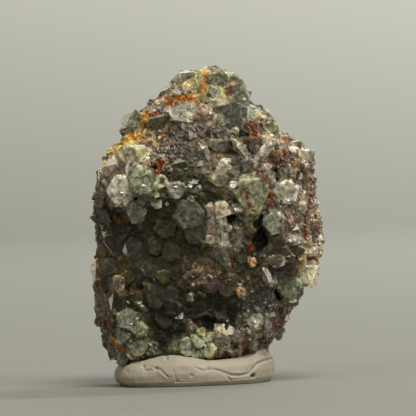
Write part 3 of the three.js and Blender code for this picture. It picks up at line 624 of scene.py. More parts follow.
def varied(name, rng, spread, field=None, share=0.0):
    """The tint as a linear colour, a little lighter or darker, drawn towards the colour of its zone."""
    colour = tint_of(name)
    if field is not None:
        colour = colour * (1 - share) + field * share
    return np.append(np.minimum(colour * math.exp(rng.gauss(0, spread)), 1), 1.0)


def waves(points, size, layer):
    """Smooth noise of a size in mm at each point, about -1 to 1; each layer has its own."""
    shift = Vector((17.3 * layer, 5.1 * layer, 0))
    return np.array([noise.noise(Vector(point) / size + shift) for point in points])


def route_distance(x, z, route):
    """How far points, or one point, are from a route that runs straight from spot to spot, in mm."""
    nearest = FAR_AWAY
    for (x0, z0), (x1, z1) in zip(route, route[1:]):
        run, rise = x1 - x0, z1 - z0
        along = np.clip(((x - x0) * run + (z - z0) * rise) / (run ** 2 + rise ** 2), 0, 1)
        nearest = np.minimum(nearest, np.hypot(x - x0 - along * run, z - z0 - along * rise))
    return nearest


# Meshes

def set_mode(mode, select=None):
    """Goes to object or edit mode, and there selects or deselects everything."""
    bpy.ops.object.mode_set(mode=mode)
    if select:
        bpy.ops.mesh.select_all(action=select)


def select_none():
    if bpy.context.mode != "OBJECT":
        set_mode("OBJECT")
    bpy.ops.object.select_all(action="DESELECT")


def moved(points, matrix):
    """Points, one to a row, carried by a 4 x 4 matrix."""
    matrix = np.array(matrix)
    return points @ matrix[:3, :3].T + matrix[:3, 3]


def rotated(points, matrix):
    return points @ np.array(matrix.to_3x3()).T


def to_rock(points):
    """Points in metres taken back to the rock's own upright frame, in mm."""
    return moved(points, STANCE.inverted())


def vertex_places(mesh):
    places = np.empty(len(mesh.vertices) * 3)
    mesh.vertices.foreach_get("co", places)
    return places.reshape(-1, 3)


def place_vertices(mesh, places):
    mesh.vertices.foreach_set("co", places.ravel())
    mesh.update()


def lay_tints(mesh, tints):
    """Gives each point of a mesh its colour, which the materials read as tint."""
    layer = mesh.color_attributes.new("tint", "FLOAT_COLOR", "POINT")
    layer.data.foreach_set("color", tints.astype(np.float32).ravel())


def coat(mesh, material):
    """A smooth mesh in one material."""
    mesh.materials.clear()
    mesh.materials.append(material)
    for face in mesh.polygons:
        face.use_smooth = True


def dress(piece, node):
    """Hangs the piece under the root body and hides the solid that it stands for."""
    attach(piece, "root")
    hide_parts(node)


def triangles(mesh, ranks=None):
    """The faces split into triangles from their lowest points, in the same order on every run."""
    corners = np.empty(len(mesh.loops), dtype=int)
    mesh.loops.foreach_get("vertex_index", corners)
    corners = corners if ranks is None else ranks[corners]
    starts, totals = np.empty((2, len(mesh.polygons)), dtype=int)
    mesh.polygons.foreach_get("loop_start", starts)
    mesh.polygons.foreach_get("loop_total", totals)
    fans = []
    for total in np.unique(totals):
        steps = np.arange(total)
        rings = corners[starts[totals == total][:, None] + steps]
        rings = np.take_along_axis(rings, (rings.argmin(1)[:, None] + steps) % total, axis=1)
        fans += [rings[:, [0, step, step + 1]] for step in range(1, total - 1)]
    return np.unique(np.concatenate(fans), axis=0)


def mesh_arrays(obj):
    """The piece's points in the rock's frame, in mm, and its triangles."""
    return to_rock(vertex_places(obj.data)), triangles(obj.data)


def face_ways(corners):
    """The way out of each triangle, as long as twice its area."""
    return np.cross(corners[:, 1] - corners[:, 0], corners[:, 2] - corners[:, 0])


def unit_ways(corners):
    """The way out of each triangle, one long."""
    ways = face_ways(corners)
    return ways / (np.linalg.norm(ways, axis=1)[:, None] + TINY)


def ways_out(points, faces):
    """The way out of a closed surface at each of its points."""
    ways = face_ways(points[faces])
    outs = np.zeros_like(points)
    for corner in faces.T:
        np.add.at(outs, corner, ways)
    return outs / np.linalg.norm(outs, axis=1)[:, None]


JOIN_DISTANCE = 1e-5


def take_form(obj):
    """Points and triangles of a finished form, whose object is removed."""
    set_mode("EDIT", "SELECT")
    bpy.ops.mesh.remove_doubles(threshold=JOIN_DISTANCE)
    bpy.ops.mesh.normals_make_consistent(inside=False)
    set_mode("OBJECT")
    mesh = obj.data
    points = vertex_places(mesh)
    order = np.lexsort(points.round(4).T)
    points, faces = points[order], triangles(mesh, np.argsort(order))
    bpy.data.objects.remove(obj)
    bpy.data.meshes.remove(mesh)
    return points, faces


def soften(bevel):
    """Takes the sharpness off the edges of the form that is being edited."""
    if bevel:
        bpy.ops.mesh.select_all(action="SELECT")
        bpy.ops.mesh.bevel(offset=bevel, segments=1, affect="EDGES")


def cut_cube(size, planes, bevel=0.0):
    """A cube with a corner or side cut off by each plane, given as a normal and a distance."""
    select_none()
    bpy.ops.mesh.primitive_cube_add(size=size)
    set_mode("EDIT")
    for normal, distance in planes:
        bpy.ops.mesh.select_all(action="SELECT")
        bpy.ops.mesh.bisect(
            plane_co=normal * distance, plane_no=normal, clear_outer=True, use_fill=True)
    soften(bevel)
    return take_form(bpy.context.active_object)


# The crystals' forms

def random_way(rng):
    return Vector([rng.uniform(-1, 1) for _ in range(3)]).normalized()


FRONT_WAY = Vector((0, -1, 0))
FACINGS = {"hex": Vector((1, 1, 1)), "square": Vector((0, 1, 0)), "edge": Vector((1, 1, 0))}
# How far out a crystal's broad outer face lies, to the face or edge that it cuts away, and the furthest edge
FACE_CUT = 0.52
EDGE_LIMIT = 0.7
# How far the faces of the octahedron lie from the middle
CORNER_CUT = 1 / math.sqrt(3)


def fluorite_form(kind, cut, bevel=0.0):
    """A cube cut at its eight corners by the faces of an octahedron, its broad outer face to the front."""
    corners = [Vector(signs).normalized() for signs in product((-1, 1), repeat=3)]
    facing = FACINGS[kind].normalized()
    outer = {"hex": CORNER_CUT, "square": cut, "edge": min(cut * math.sqrt(2), EDGE_LIMIT)}[kind] * FACE_CUT
    planes = [(corner, CORNER_CUT) for corner in corners] + [(facing, outer)]
    points, faces = cut_cube(2 * cut, planes, bevel)
    return rotated(points, facing.rotation_difference(FRONT_WAY).to_matrix()), faces


# A broken block's cube, the distance of its broad face, and how many odd planes split it, between which distances
CHIP_CUBE = 1.7
CHIP_FACE = 0.5
CHIP_PLANES = 6
CHIP_CUTS = (0.6, 0.9)


def chip_form(rng, bevel=0.0):
    """A broken block: a cube split along a few odd planes, its broad face to the front."""
    planes = [(FRONT_WAY, CHIP_FACE)] + [(random_way(rng), rng.uniform(*CHIP_CUTS)) for _ in range(CHIP_PLANES)]
    return cut_cube(CHIP_CUBE, planes, bevel)


# The length of a prism's point to its radius, and the width of its blunt tip to its own
POINT_RISE = 0.95
TIP_WIDTH = 0.08


def quartz_form(bevel=0.0):
    """A six-sided prism of radius 1 and half length 1, with a point at each end."""
    select_none()
    bpy.ops.mesh.primitive_cylinder_add(vertices=6, radius=1, depth=2)
    obj = bpy.context.active_object
    for end in (1, -1):
        set_mode("EDIT", "DESELECT")
        set_mode("OBJECT")
        for face in obj.data.polygons:
            face.select = face.normal.z * end > 0.9
        set_mode("EDIT")
        bpy.ops.mesh.select_mode(type="FACE")
        bpy.ops.mesh.extrude_region_move(TRANSFORM_OT_translate={"value": (0, 0, POINT_RISE * end)})
        bpy.ops.transform.resize(value=(TIP_WIDTH, TIP_WIDTH, 1))
    soften(bevel)
    return take_form(obj)


def lump_form(rng):
    """A knobbly crumb: a coarse ball with its points pushed about."""
    select_none()
    bpy.ops.mesh.primitive_ico_sphere_add(subdivisions=1, radius=0.5)
    points, faces = take_form(bpy.context.active_object)
    return points * np.array([[rng.uniform(0.65, 1.25)] for _ in points]), faces


# How deep the corners of each fluorite form are cut, and how many broken blocks there are
FLUORITE_CUTS = {"hex": (0.52, 0.6, 0.66, 0.74), "square": (0.44, 0.5, 0.56), "edge": (0.5, 0.58)}
CHIP_COUNT = 10
# How far the clear crystals' edges are rounded, to their size
SOFT_EDGE = 0.02


def crystal_forms(rng, bevel=0.0):
    """A few forms of each kind of crystal, about one unit wide."""
    forms = {kind: [fluorite_form(kind, cut, bevel) for cut in cuts] for kind, cuts in FLUORITE_CUTS.items()}
    forms["chip"] = [chip_form(rng, bevel) for _ in range(CHIP_COUNT)]
    forms["quartz"] = [quartz_form(bevel)]
    return forms


class Cluster:
    """Gathers copies of forms, each with its own vertices and tints, into one mesh."""

    def __init__(self):
        self.points, self.faces, self.tints, self.count = [], [], [], 0

    def add(self, form, points, colour):
        """Adds a form at its placed points."""
        self.points.append(points)
        self.faces.append(form[1] + self.count)
        self.tints.append(np.tile(np.append(np.clip(colour[:3], 0, 1), 1.0), (len(points), 1)))
        self.count += len(points)

    def piece(self, name, material):
        """The joined mesh in metres, standing as the rock stands."""
        points = moved(np.concatenate(self.points), STANCE)
        mesh = bpy.data.meshes.new(name)
        mesh.from_pydata(points.tolist(), [], np.concatenate(self.faces).tolist())
        lay_tints(mesh, np.concatenate(self.tints))
        mesh.materials.append(material)
        obj = bpy.data.objects.new(name, mesh)
        bpy.context.scene.collection.objects.link(obj)
        return obj


def fitted(points, width, height):
    """Scaled to its width and height as seen from the front, and by their mean in depth."""
    size = points.max(0) - points.min(0)
    scale = np.array([width / size[0], 0, height / size[2]])
    scale[1] = scale.sum() / 2
    return points * scale


def upright_quartz(form, width, length):
    """The prism at its width and length, its points keeping their slope."""
    points = form[0].copy()
    radius = width / 2
    shoulder = length / 2 - radius * POINT_RISE
    beyond = np.abs(points[:, 2]) - 1
    points[:, 2] = np.sign(points[:, 2]) * (shoulder + beyond * radius)
    points[:, :2] *= radius
    return points


# How far a prism leans back from the front, in degrees, and how far other crystals tilt either way, in radians
QUARTZ_LEAN = (5, 20)
TILT = (-0.2, 0.2)


def shaped_crystal(entry, forms, rng):
    """One crystal of the plan about its middle, facing the front: its form and its points."""
    kind, width, height = entry["kind"], entry["width"], entry["height"]
    spin = Matrix.Rotation(math.radians(entry["turn"]), 3, "Y")
    if kind == "quartz":
        form = forms["quartz"][0]
        lean = Matrix.Rotation(math.radians(rng.uniform(*QUARTZ_LEAN)), 3, "X")
        return form, rotated(upright_quartz(form, width, height), spin @ lean)
    form = rng.choice(forms[kind])
    tilt = Matrix.Rotation(rng.uniform(*TILT), 3, "X") @ Matrix.Rotation(rng.uniform(*TILT), 3, "Z")
    return form, rotated(fitted(rotated(form[0], spin), width, height), tilt)


def random_turn(rng):
    """Any turn at all."""
    first = Matrix.Rotation(rng.uniform(0, math.tau), 3, "Z")
    tip = Matrix.Rotation(math.acos(rng.uniform(-1, 1)), 3, "X")
    return first @ tip @ Matrix.Rotation(rng.uniform(0, math.tau), 3, "Z")


def turn_to(direction, spin):
    """Turns the near side of a front-facing crystal towards a direction."""
    facing = FRONT_WAY.rotation_difference(Vector(direction)).to_matrix()
    return facing @ Matrix.Rotation(spin, 3, "Y")


def seated(points, spot, out, stand):
    """The middle of a crystal whose outermost point stands that high over a spot, in mm."""
    return spot + out * (stand - (points @ out).max())


# Materials

def add_node(tree, kind, settings=None, **links):
    """A node with its settings and its inputs, each a value or another node's output.

    An input is given by its name with _ for a space, or as i0, i1 and so on by its number."""
    node = tree.nodes.new(kind)
    for key, value in (settings or {}).items():
        setattr(node, key, value)
    for key, value in links.items():
        by_number = key[0] == "i" and key[1:].isdigit()
        connect(tree, value, node.inputs[int(key[1:]) if by_number else key.replace("_", " ")])
    return node


def connect(tree, value, socket):
    """Feeds a socket with another node's output, or sets it to a value."""
    if isinstance(value, bpy.types.NodeSocket):
        tree.links.new(value, socket)
    else:
        socket.default_value = value


def new_material(name):
    """An empty material: itself, its nodes, and the place on the object as an output socket."""
    material = bpy.data.materials.new(name)
    material.use_nodes = True
    tree = material.node_tree
    tree.nodes.clear()
    return material, tree, add_node(tree, "ShaderNodeTexCoord").outputs["Object"]


def close_material(tree, shader, volume=None):
    """Shows the shader on the surface, and the volume below it if there is one."""
    output = tree.nodes.new("ShaderNodeOutputMaterial")
    tree.links.new(shader.outputs[0], output.inputs["Surface"])
    if volume:
        tree.links.new(volume.outputs[0], output.inputs["Volume"])


def tint_colour(tree):
    """The colour that each point of the mesh carries."""
    return add_node(tree, "ShaderNodeAttribute", {"attribute_name": "tint"}).outputs["Color"]


def per_metre(size_mm):
    """Texture scale whose features are about a size in mm."""
    return 1 / (size_mm * MM)


def noise_at(tree, place, size_mm, output="Fac", **inputs):
    """Cloudy noise with features of about a size in mm."""
    return add_node(
        tree, "ShaderNodeTexNoise", None, Vector=place, Scale=per_metre(size_mm), **inputs).outputs[output]


def cells_at(tree, place, size_mm, output="Distance", **settings):
    """Angular cells of about a size in mm."""
    return add_node(
        tree, "ShaderNodeTexVoronoi", settings, Vector=place, Scale=per_metre(size_mm)).outputs[output]


def ranged(tree, value, low, high, to_low, to_high):
    """A value's range carried over to another."""
    return add_node(tree, "ShaderNodeMapRange", None, Value=value, From_Min=low, From_Max=high,
                    To_Min=to_low, To_Max=to_high).outputs[0]


def product_of(tree, first, second):
    return add_node(tree, "ShaderNodeMath", {"operation": "MULTIPLY"}, i0=first, i1=second).outputs[0]


def mixed(tree, blend, share, first, second):
    """The two colours blended."""
    return add_node(tree, "ShaderNodeMix", {"data_type": "RGBA", "blend_type": blend},
                    i0=share, i6=first, i7=second).outputs[2]


def bumped(tree, strength, height):
    """The relief of a skin whose bumps are about a tenth of a millimetre high."""
    return add_node(
        tree, "ShaderNodeBump", None, Strength=strength, Distance=0.1 * MM, Height=height).outputs[0]


# How far light spreads inside cloudy crystal, and how far of that in red, green and blue
SCATTER_REACH = 0.6 * MM
SCATTER_COLOURS = (1.0, 0.95, 0.7)
# How far the cells inside a crystal are bent out of shape
CELL_BEND = 1.6 * MM
PALE_DUST = (1.9, 1.88, 1.7, 1.0)


def crystal_colour(tree, place, bent, fine, cloud, haze):
    """The crystal's tint, broken into chips, dusted dark and pale, with threads, veils and healed cracks."""
    tinted = tint_colour(tree)
    veils = noise_at(tree, place, 1.8, Detail=5.0, Roughness=0.65, Distortion=0.6)
    dust = noise_at(tree, place, 1.3, Detail=6.0, Roughness=0.75, Distortion=1.0)
    cracks = cells_at(tree, bent, 1.4, feature="DISTANCE_TO_EDGE")
    threads = cells_at(tree, bent, 2.6, feature="DISTANCE_TO_EDGE")
    chip = add_node(tree, "ShaderNodeSeparateColor", None, Color=cells_at(tree, bent, 0.75, "Color")).outputs[0]
    speck = product_of(tree, ranged(tree, fine, 0.36, 0.64, 0.45, 1.6), ranged(tree, chip, 0.0, 1.0, 0.55, 1.45))
    grey = add_node(tree, "ShaderNodeCombineColor", None, Red=speck, Green=speck, Blue=speck).outputs[0]
    base = mixed(tree, "MULTIPLY", 1.0, tinted, grey)
    base = mixed(tree, "MULTIPLY", ranged(tree, dust, 0.5, 0.6, 0.0, 0.75), base, srgb("#978a86"))
    base = mixed(tree, "MULTIPLY", ranged(tree, dust, 0.48, 0.38, 0.0, 0.8), base, PALE_DUST)
    base = mixed(tree, "SCREEN", ranged(tree, threads, 0.0, 0.035, 0.2, 0.0), base, srgb("#8a8458"))
    veil = mixed(tree, "MIX", 0.5, tinted, srgb(haze))
    base = mixed(tree, "MIX", ranged(tree, veils, 0.5, 0.7, 0.0, cloud), base, veil)
    crack = product_of(tree, ranged(tree, cracks, 0.0, 0.05, 1.0, 0.0), ranged(tree, veils, 0.45, 0.6, 0.0, cloud))
    return mixed(tree, "MIX", crack, base, veil)


def crystal_material(name, ior, transmission, scatter, roughness, cloud, haze,
                     density=0, absorbed=None, gloss=0.5):
    """Crystal with cloudy veils, healed cracks and dark specks inside a glassy, uneven skin."""
    material, tree, place = new_material(name)
    fine = noise_at(tree, place, 0.6, Detail=4.0, Roughness=0.85)
    bent = add_node(tree, "ShaderNodeVectorMath", {"operation": "MULTIPLY_ADD"},
                    i0=noise_at(tree, place, 2.0, "Color"), i1=(CELL_BEND,) * 3, i2=place).outputs[0]
    facets = cells_at(tree, bent, 0.8, distance="CHEBYCHEV")
    height = add_node(
        tree, "ShaderNodeMath", {"operation": "MULTIPLY_ADD"}, i0=facets, i1=1.5, i2=fine).outputs[0]
    shader = add_node(
        tree, "ShaderNodeBsdfPrincipled", None, Base_Color=crystal_colour(tree, place, bent, fine, cloud, haze),
        Roughness=ranged(tree, fine, 0.3, 0.7, roughness * 0.5, roughness * 1.7), IOR=ior,
        Transmission_Weight=transmission, Subsurface_Weight=scatter, Subsurface_Scale=SCATTER_REACH,
        Subsurface_Radius=SCATTER_COLOURS, Specular_IOR_Level=gloss,
        Normal=bumped(tree, 0.5 if transmission else 0.7, height))
    volume = density and add_node(
        tree, "ShaderNodeVolumeAbsorption", None, Color=srgb(absorbed), Density=density)
    close_material(tree, shader, volume)
    return material


def clear_fluorite():
    """Clear fluorite, grown faces: glassy skin, see-through rims, faint green body colour."""
    return crystal_material("clear_fluorite", ior=1.434, transmission=0.78, scatter=0.5, roughness=0.1,
                            cloud=0.3, haze="#a3a389", density=15.0, absorbed="#cdd3ba")


def cloudy_fluorite():
    """Cloudy fluorite, grown and etched faces: half see-through with milky veils."""
    return crystal_material("cloudy_fluorite", ior=1.434, transmission=0.8, scatter=0.4, roughness=0.13,
                            cloud=0.25, haze="#857e68", density=20.0, absorbed="#ccc6ae")


def quartz_crystal():
    """Rock crystal, grown faces: clear to milky prisms with a high gloss."""
    return crystal_material("quartz_crystal", ior=1.544, transmission=0.7, scatter=0.5, roughness=0.08,
                            cloud=0.3, haze="#a09884", density=20.0, absorbed="#d8d2c0")


def fine_crystal():
    """Drusy crust of quartz and fluorite: small glassy grains, some light passes through."""
    return crystal_material("fine_crystal", ior=1.5, transmission=0.3, scatter=0.6, roughness=0.28,
                            cloud=0.3, haze="#8a8068")


def fused_crystal():
    """Fluorite and quartz grown into one crust: glassy, light spreads in it, mottled with veils and dust."""
    return crystal_material("fused_crystal", ior=1.46, transmission=0.0, scatter=0.7, roughness=0.4,
                            cloud=0.35, haze="#8f8970", gloss=0.25)


def iron_stain():
    """Limonite and hematite, weathered on: earthy, matt, orange to red-brown."""
    material, tree, place = new_material("iron_stain")
    dust = noise_at(tree, place, 0.3, Detail=4.0)
    base = mixed(tree, "MIX", ranged(tree, dust, 0.35, 0.65, 0.0, 0.7), tint_colour(tree), srgb("#3c1408"))
    close_material(tree, add_node(
        tree, "ShaderNodeBsdfPrincipled", None, Base_Color=base, Roughness=0.75, Specular_IOR_Level=0.15,
        Normal=bumped(tree, 0.6, dust)))
    return material


def pressed_putty():
    """Mounting putty, kneaded and pressed by hand: soft satin, specks of dirt, finger marks."""
    material, tree, place = new_material("pressed_putty")
    patches = noise_at(tree, place, 6.0, Detail=4.0)
    specks = noise_at(tree, place, 0.5, Detail=3.0)
    base = mixed(tree, "MIX", ranged(tree, patches, 0.3, 0.7, 0.0, 0.35), colours().putty[:], srgb("#827b6b"))
    base = mixed(tree, "MIX", ranged(tree, specks, 0.68, 0.78, 0.0, 0.45), base, srgb("#6b5a46"))
    close_material(tree, add_node(
        tree, "ShaderNodeBsdfPrincipled", None, Base_Color=base, Roughness=0.62,
        Normal=bumped(tree, 0.3, specks)))
    return material


def stage_paper():
    """Plain pale paper, painted a little darker where it is the floor: a painted shade."""
    material, tree, place = new_material("stage_paper")
    height = add_node(tree, "ShaderNodeSeparateXYZ", None, Vector=place).outputs["Z"]
    # Painted shade: the floor's tint is darker and blends to the stage tint up the bend
    base = mixed(tree, "MIX", ranged(tree, height, 0.0, 0.5, 0.0, 1.0), srgb("#6f6f6a"), colours().stage[:])
    close_material(tree, add_node(tree, "ShaderNodeBsdfPrincipled", None, Base_Color=base, Roughness=0.85))
    return material


# The rock

# The skin's points around the rock and up its height, and how much closer they lie on the front than on the back
SKIN_GRID = (380, 248)
FRONT_SHARE = 0.4
# Where the skin ends within the outline, in mm, and the share of its height over which its rings close
BOTTOM_GAP = 0.3
TOP_GAP = 0.5
CLOSING = 0.035
# A line that runs closer along a face than this misses it
GRAZING = 0.03


def planes_of(points, faces):
    """The flat faces of a form at its placed points: their ways out and their distances."""
    corners = points[faces]
    ways = unit_ways(corners)
    distances = (ways * corners[:, 0]).sum(1)
    _, keep = np.unique(np.column_stack([ways, distances]).round(2), axis=0, return_index=True)
    return ways[keep], distances[keep]


def crossing(steep, room):
    """Where lines leave a form with flat faces, how much further its next face is, and where they enter."""
    with np.errstate(divide="ignore", invalid="ignore"):
        runs = room / steep
    leaves = np.partition(np.where(steep > GRAZING, runs, FAR_AWAY), 1, axis=1)
    enter = np.where(steep < -GRAZING, runs, -FAR_AWAY).max(1)
    enter[((np.abs(steep) <= GRAZING) & (room < 0)).any(1)] = 2 * FAR_AWAY
    return leaves[:, 0], leaves[:, 1] - leaves[:, 0], enter


class Skin:
    """The rock's skin, which fused crystals push outwards and tint; all in mm."""

    def __init__(self, points, outs, heights):
        self.points, self.outs, self.heights = points, outs, heights
        self.edges = np.full(len(points), FAR_AWAY)
        self.cores = np.zeros(len(points))
        self.owners = np.zeros(len(points), dtype=int)
        self.tints = [(0.0, 0.0, 0.0, 1.0)]
        self.tree = kdtree.KDTree(len(points))
        for index, point in enumerate(points):
            self.tree.insert(point, index)
        self.tree.balance()

    def grow(self, form, points, place, colour, phantom=0.0):
        """One crystal that stands in the skin; a smaller copy of its faces draws its phantom."""
        normals, distances = planes_of(points, form[1])
        reach = math.sqrt((points ** 2).sum(1).max())
        near = np.array([found[1] for found in self.tree.find_range(place, reach + 0.3)], dtype=int)
        if not len(near):
            return
        steep = self.outs[near] @ normals.T
        along = (self.points[near] - place) @ normals.T
        leave, further, enter = crossing(steep, distances - along)
        up = (leave > enter) & (leave > self.heights[near])
        if not up.any():
            return
        self.tints.append(colour)
        risen = near[up]
        self.heights[risen] = leave[up]
        self.edges[risen] = further[up]
        self.owners[risen] = len(self.tints) - 1
        self.cores[risen] = 0.0
        if phantom:
            leave, _, enter = crossing(steep[up], distances * phantom - along[up])
            self.cores[risen] = np.clip((leave - enter) / 0.5, 0, 1)


def make_base():
    """The rock's whole rounded form, with its points closer together on the front."""
    select_none()
    segments, rings = SKIN_GRID
    bpy.ops.mesh.primitive_uv_sphere_add(segments=segments, ring_count=rings, radius=1)
    rock = bpy.context.active_object
    rock.name = rock.data.name = "matrix_rock"
    ball = vertex_places(rock.data)
    bottom, top = ROCK_ROWS[0][0] + BOTTOM_GAP, ROCK_ROWS[-1][0] - TOP_GAP
    shares = np.arccos(np.clip(-ball[:, 2], -1, 1)) / math.pi
    ends = np.minimum(np.minimum(shares, 1 - shares) / CLOSING, 1)
    closes = np.sqrt(1 - (1 - ends) ** 2)
    angles = np.arctan2(ball[:, 1], ball[:, 0])
    angles -= FRONT_SHARE * np.cos(angles)
    points = np.array([
        rock_point(bottom + (top - bottom) * share, angle, SKIN_DEPTH, close)
        for share, angle, close in zip(shares, angles, closes)])
    place_vertices(rock.data, moved(points, STANCE))
    return rock, points, ways_out(points, mesh_arrays(rock)[1])


# How many places are tried for each square of the spacing, and how near two may be to each other
TRIES = 2.2
LEAST_GAP = 0.8


def surface_places(obj, spacing, seed):
    """Places spread over a piece about a spacing apart, each with the way out, in mm."""
    points, faces = mesh_arrays(obj)
    corners = points[faces]
    ways = face_ways(corners)
    areas = np.linalg.norm(ways, axis=1) / 2
    generator = np.random.default_rng(seed)
    wanted = int(areas.sum() / spacing ** 2 * TRIES)
    picked = generator.choice(len(faces), wanted, p=areas / areas.sum())
    share = generator.random((wanted, 2))
    flip = share.sum(1) > 1
    share[flip] = 1 - share[flip]
    chosen = corners[picked]
    spots = (chosen[:, 0] + (chosen[:, 1] - chosen[:, 0]) * share[:, :1]
             + (chosen[:, 2] - chosen[:, 0]) * share[:, 1:])
    outs = ways[picked] / (2 * areas[picked][:, None] + TINY)
    cells, places = {}, []
    for spot, out in zip(spots, outs):
        cell = tuple(np.floor(spot / spacing).astype(int))
        near = (cells.get((cell[0] + i, cell[1] + j, cell[2] + k), ())
                for i, j, k in product((-1, 0, 1), repeat=3))
        if any(((spot - other) ** 2).sum() < (spacing * LEAST_GAP) ** 2 for group in near for other in group):
            continue
        cells.setdefault(cell, []).append(spot)
        places.append((spot, out))
    return places


SHADY_TINTS = "olive dark brown moss rust amber orange plum dark_green".split()
CLEAR_TINTS = "green leaf_green bright_green bright cream_clear cream_green grey_green dark_green".split()
BARE_TINTS = "rust orange yellow amber dark".split()
# A front crystal wider than this counts as large, in mm, and so does every quartz
LARGE_WIDTH = 2.4
# Whatever stands this far forward of the middle is on the front, in mm
FRONT_DEPTH = -2


def on_large(spot, share):
    """Whether a spot is on one of the front's large crystals, within that share of its width."""
    if spot[1] > FRONT_DEPTH:
        return False
    for kind, x, z, width, height, turn, _, _ in FACE_CRYSTALS:
        if width > LARGE_WIDTH or kind == "quartz":
            across, along = spot[0] - x, spot[2] - z
            cos, sin = math.cos(math.radians(turn)), math.sin(math.radians(turn))
            across, along = across * cos - along * sin, across * sin + along * cos
            if (across / width) ** 2 + (along / height) ** 2 < share ** 2:
                return True
    return False


def on_stain(spot):
    """Whether a spot of the front is on the middle of an iron stain."""
    return spot[1] < FRONT_DEPTH and any(
        math.hypot(spot[0] - x, spot[2] - z) < width for _, width, *route in STAINS for x, z in route)


# The flanks end at the front face and at the dome: how deep the face reaches, and the dome's foot and crown, in mm
FACE_DEPTH = -3.5
DOME_DEPTH = 2
DOME_FOOT = 48
DOME_CROWN = 60


def on_flank(spot):
    x, y, z = spot
    return y >= FACE_DEPTH and not (z > DOME_FOOT and y < DOME_DEPTH) and z <= DOME_CROWN


# The small crystals' layers: how far they stand out in mm, and how wide they are to their spacing
LAYERS = {"middle": (0.15, 2.0), "flank": (0.4, 1.05)}
# How often each kind stands among the small crystals
KINDS = {"hex": 3, "square": 2, "edge": 2, "chip": 4, "quartz": 0.5}
# A small crystal's spread of sizes, its largest width in mm, and how much of both fine grains take away
SIZE_SPREAD = 0.28
LARGEST = 6.0
GRAIN_LOSS = 2.5
# A prism's width to its length
PRISM_WIDTH = 0.35


def small_crystal(layer, spacing, spot, out, name, share, field, rng):
    """A crystal between the large ones, or on the flanks and the back; it is smaller where grains rule."""
    stand, widening = LAYERS[layer]
    size = spacing * math.exp(rng.gauss(0, SIZE_SPREAD)) * widening * (1.25 - 0.45 * share)
    size = min(size, LARGEST - GRAIN_LOSS * share)
    kind = rng.choices(list(KINDS), list(KINDS.values()))[0]
    width, height = (size * PRISM_WIDTH, size) if kind == "quartz" else (size, size * rng.uniform(0.65, 1.0))
    return {
        "layer": layer, "kind": kind, "width": width, "height": height, "turn": rng.uniform(0, 360),
        "spot": np.array(spot), "out": np.array(out), "stand": stand + 0.08 * size + rng.gauss(0, 0.2),
        "name": name, "colour": varied(name, rng, 0.2, field, 0.5)}


# The large crystals grow into each other past their drawn outlines, except near the rim and on top, in mm
FRONT_GROWTH = 1.22
RIM_WIDTH = 4
TOP_HEIGHT = 62


def painted_light_by_place(x, z, shady):
    """How light a large crystal's tint is painted, as painted light and shade: painted shade on the sunlit dome,
    painted light at the left and in the lower part.
    """
    if shady:
        return 1.0
    if z > 58:
        return 0.82
    return 1.3 if x < -8 or z < 48 else 1.0


def front_crystal(row, rng):
    """One of the front's large crystals."""
    kind, x, z, width, height, turn, out, name = row
    left, right, _, _ = row_at(z)
    growth = FRONT_GROWTH if left + RIM_WIDTH < x < right - RIM_WIDTH and z < TOP_HEIGHT else 1
    shady = name in SHADY_TINTS
    stand = (0.25 + 0.6 * out + 0.13 * min(width, height)) * (0.6 if shady else 1)
    return {
        "layer": "front", "kind": kind, "width": width * growth, "height": height * growth, "turn": turn,
        "spot": np.array([x, front_at(x, z), z]), "out": np.array([0.0, -1.0, 0.0]), "stand": stand,
        # The tint carries painted light and shade by where the crystal stands
        "name": name, "colour": varied(name, rng, 0.06) * painted_light_by_place(x, z, shady)}


def crystal_plan(rock):
    """Every crystal's form, place and tint: first the small ones, then the front's large ones."""
    rng = random.Random(SEED)
    plan = []
    for layer, spacing in (("middle", sizes().middle), ("flank", sizes().flank)):
        places = surface_places(rock, spacing, SEED + len(plan))
        spots = [spot for spot, _ in places]
        names, grainy = drawn_tints(spots, np.random.default_rng(SEED + len(plan)))
        for (spot, out), name, share, field in zip(places, names, grainy, zone_colours(spots)):
            if (layer == "middle" or on_flank(spot)) and not on_large(spot, 0.42):
                plan.append(small_crystal(layer, spacing, spot, out, name, share, field, rng))
    return plan + [front_crystal(row, rng) for row in FACE_CRYSTALS]


# The way out of a face that mirrors the upper soft box to the camera
GLINT_WAY = Vector((0.18, -1.45, 0.87)).normalized()
GLINT_COLOUR = np.array([0.5, 0.48, 0.4, 1.0])
GLINT_STAND = 0.5


def add_glints(group, trees):
    """Small clear crystals of the front turned so that a face of each catches the light."""
    rng = random.Random(GLINT_SEED)
    form = fluorite_form("square", 0.5, SOFT_EDGE)
    for x, z, width in GLINTS:
        spot = front_spot(trees, x, z)
        if spot is None:
            continue
        way = GLINT_WAY + Vector([rng.gauss(0, 0.04) for _ in range(3)])
        shape = fitted(form[0], width, width * rng.uniform(0.6, 0.9))
        points = rotated(shape, turn_to(way, rng.uniform(0, math.tau)))
        group.add(form, points + seated(points, spot, np.array([0.0, -1.0, 0.0]), GLINT_STAND), GLINT_COLOUR)


# The dusty core's share of a crystal on the front and elsewhere, and the phantom's share of the core
CORE_SHARE = 0.84
SMALL_CORE_SHARE = 0.95
PHANTOM_SHARE = 0.8
# The narrowest crystal that shows a phantom, and how deep the pale rim around the core lies under the shell, in mm
PHANTOM_FROM = 2.6
RIM_DROP = 0.35
# How much lighter than the core its rim is
RIM_LIGHT = 1.5
SHADY_RIM_LIGHT = 2.4
# The colour of clear crystal, and its share in the shell's
CLEAR_BODY = np.array([0.66, 0.65, 0.58, 1.0])
CLEAR_SHARE = 0.33
SHADY_CLEAR_SHARE = 0.08
SHELL_CHANCE = 0.6
SHELL_MATERIALS = {"clear": clear_fluorite, "cloudy": cloudy_fluorite, "quartz": quartz_crystal}


def has_shell(entry, rng):
    """Whether a clear crystal stands around its dusty core."""
    if entry["name"] in BARE_TINTS:
        return False
    return entry["layer"] == "front" or rng.random() < SHELL_CHANCE


def shell_group(kind, name):
    return "quartz" if kind == "quartz" else "clear" if name in CLEAR_TINTS else "cloudy"


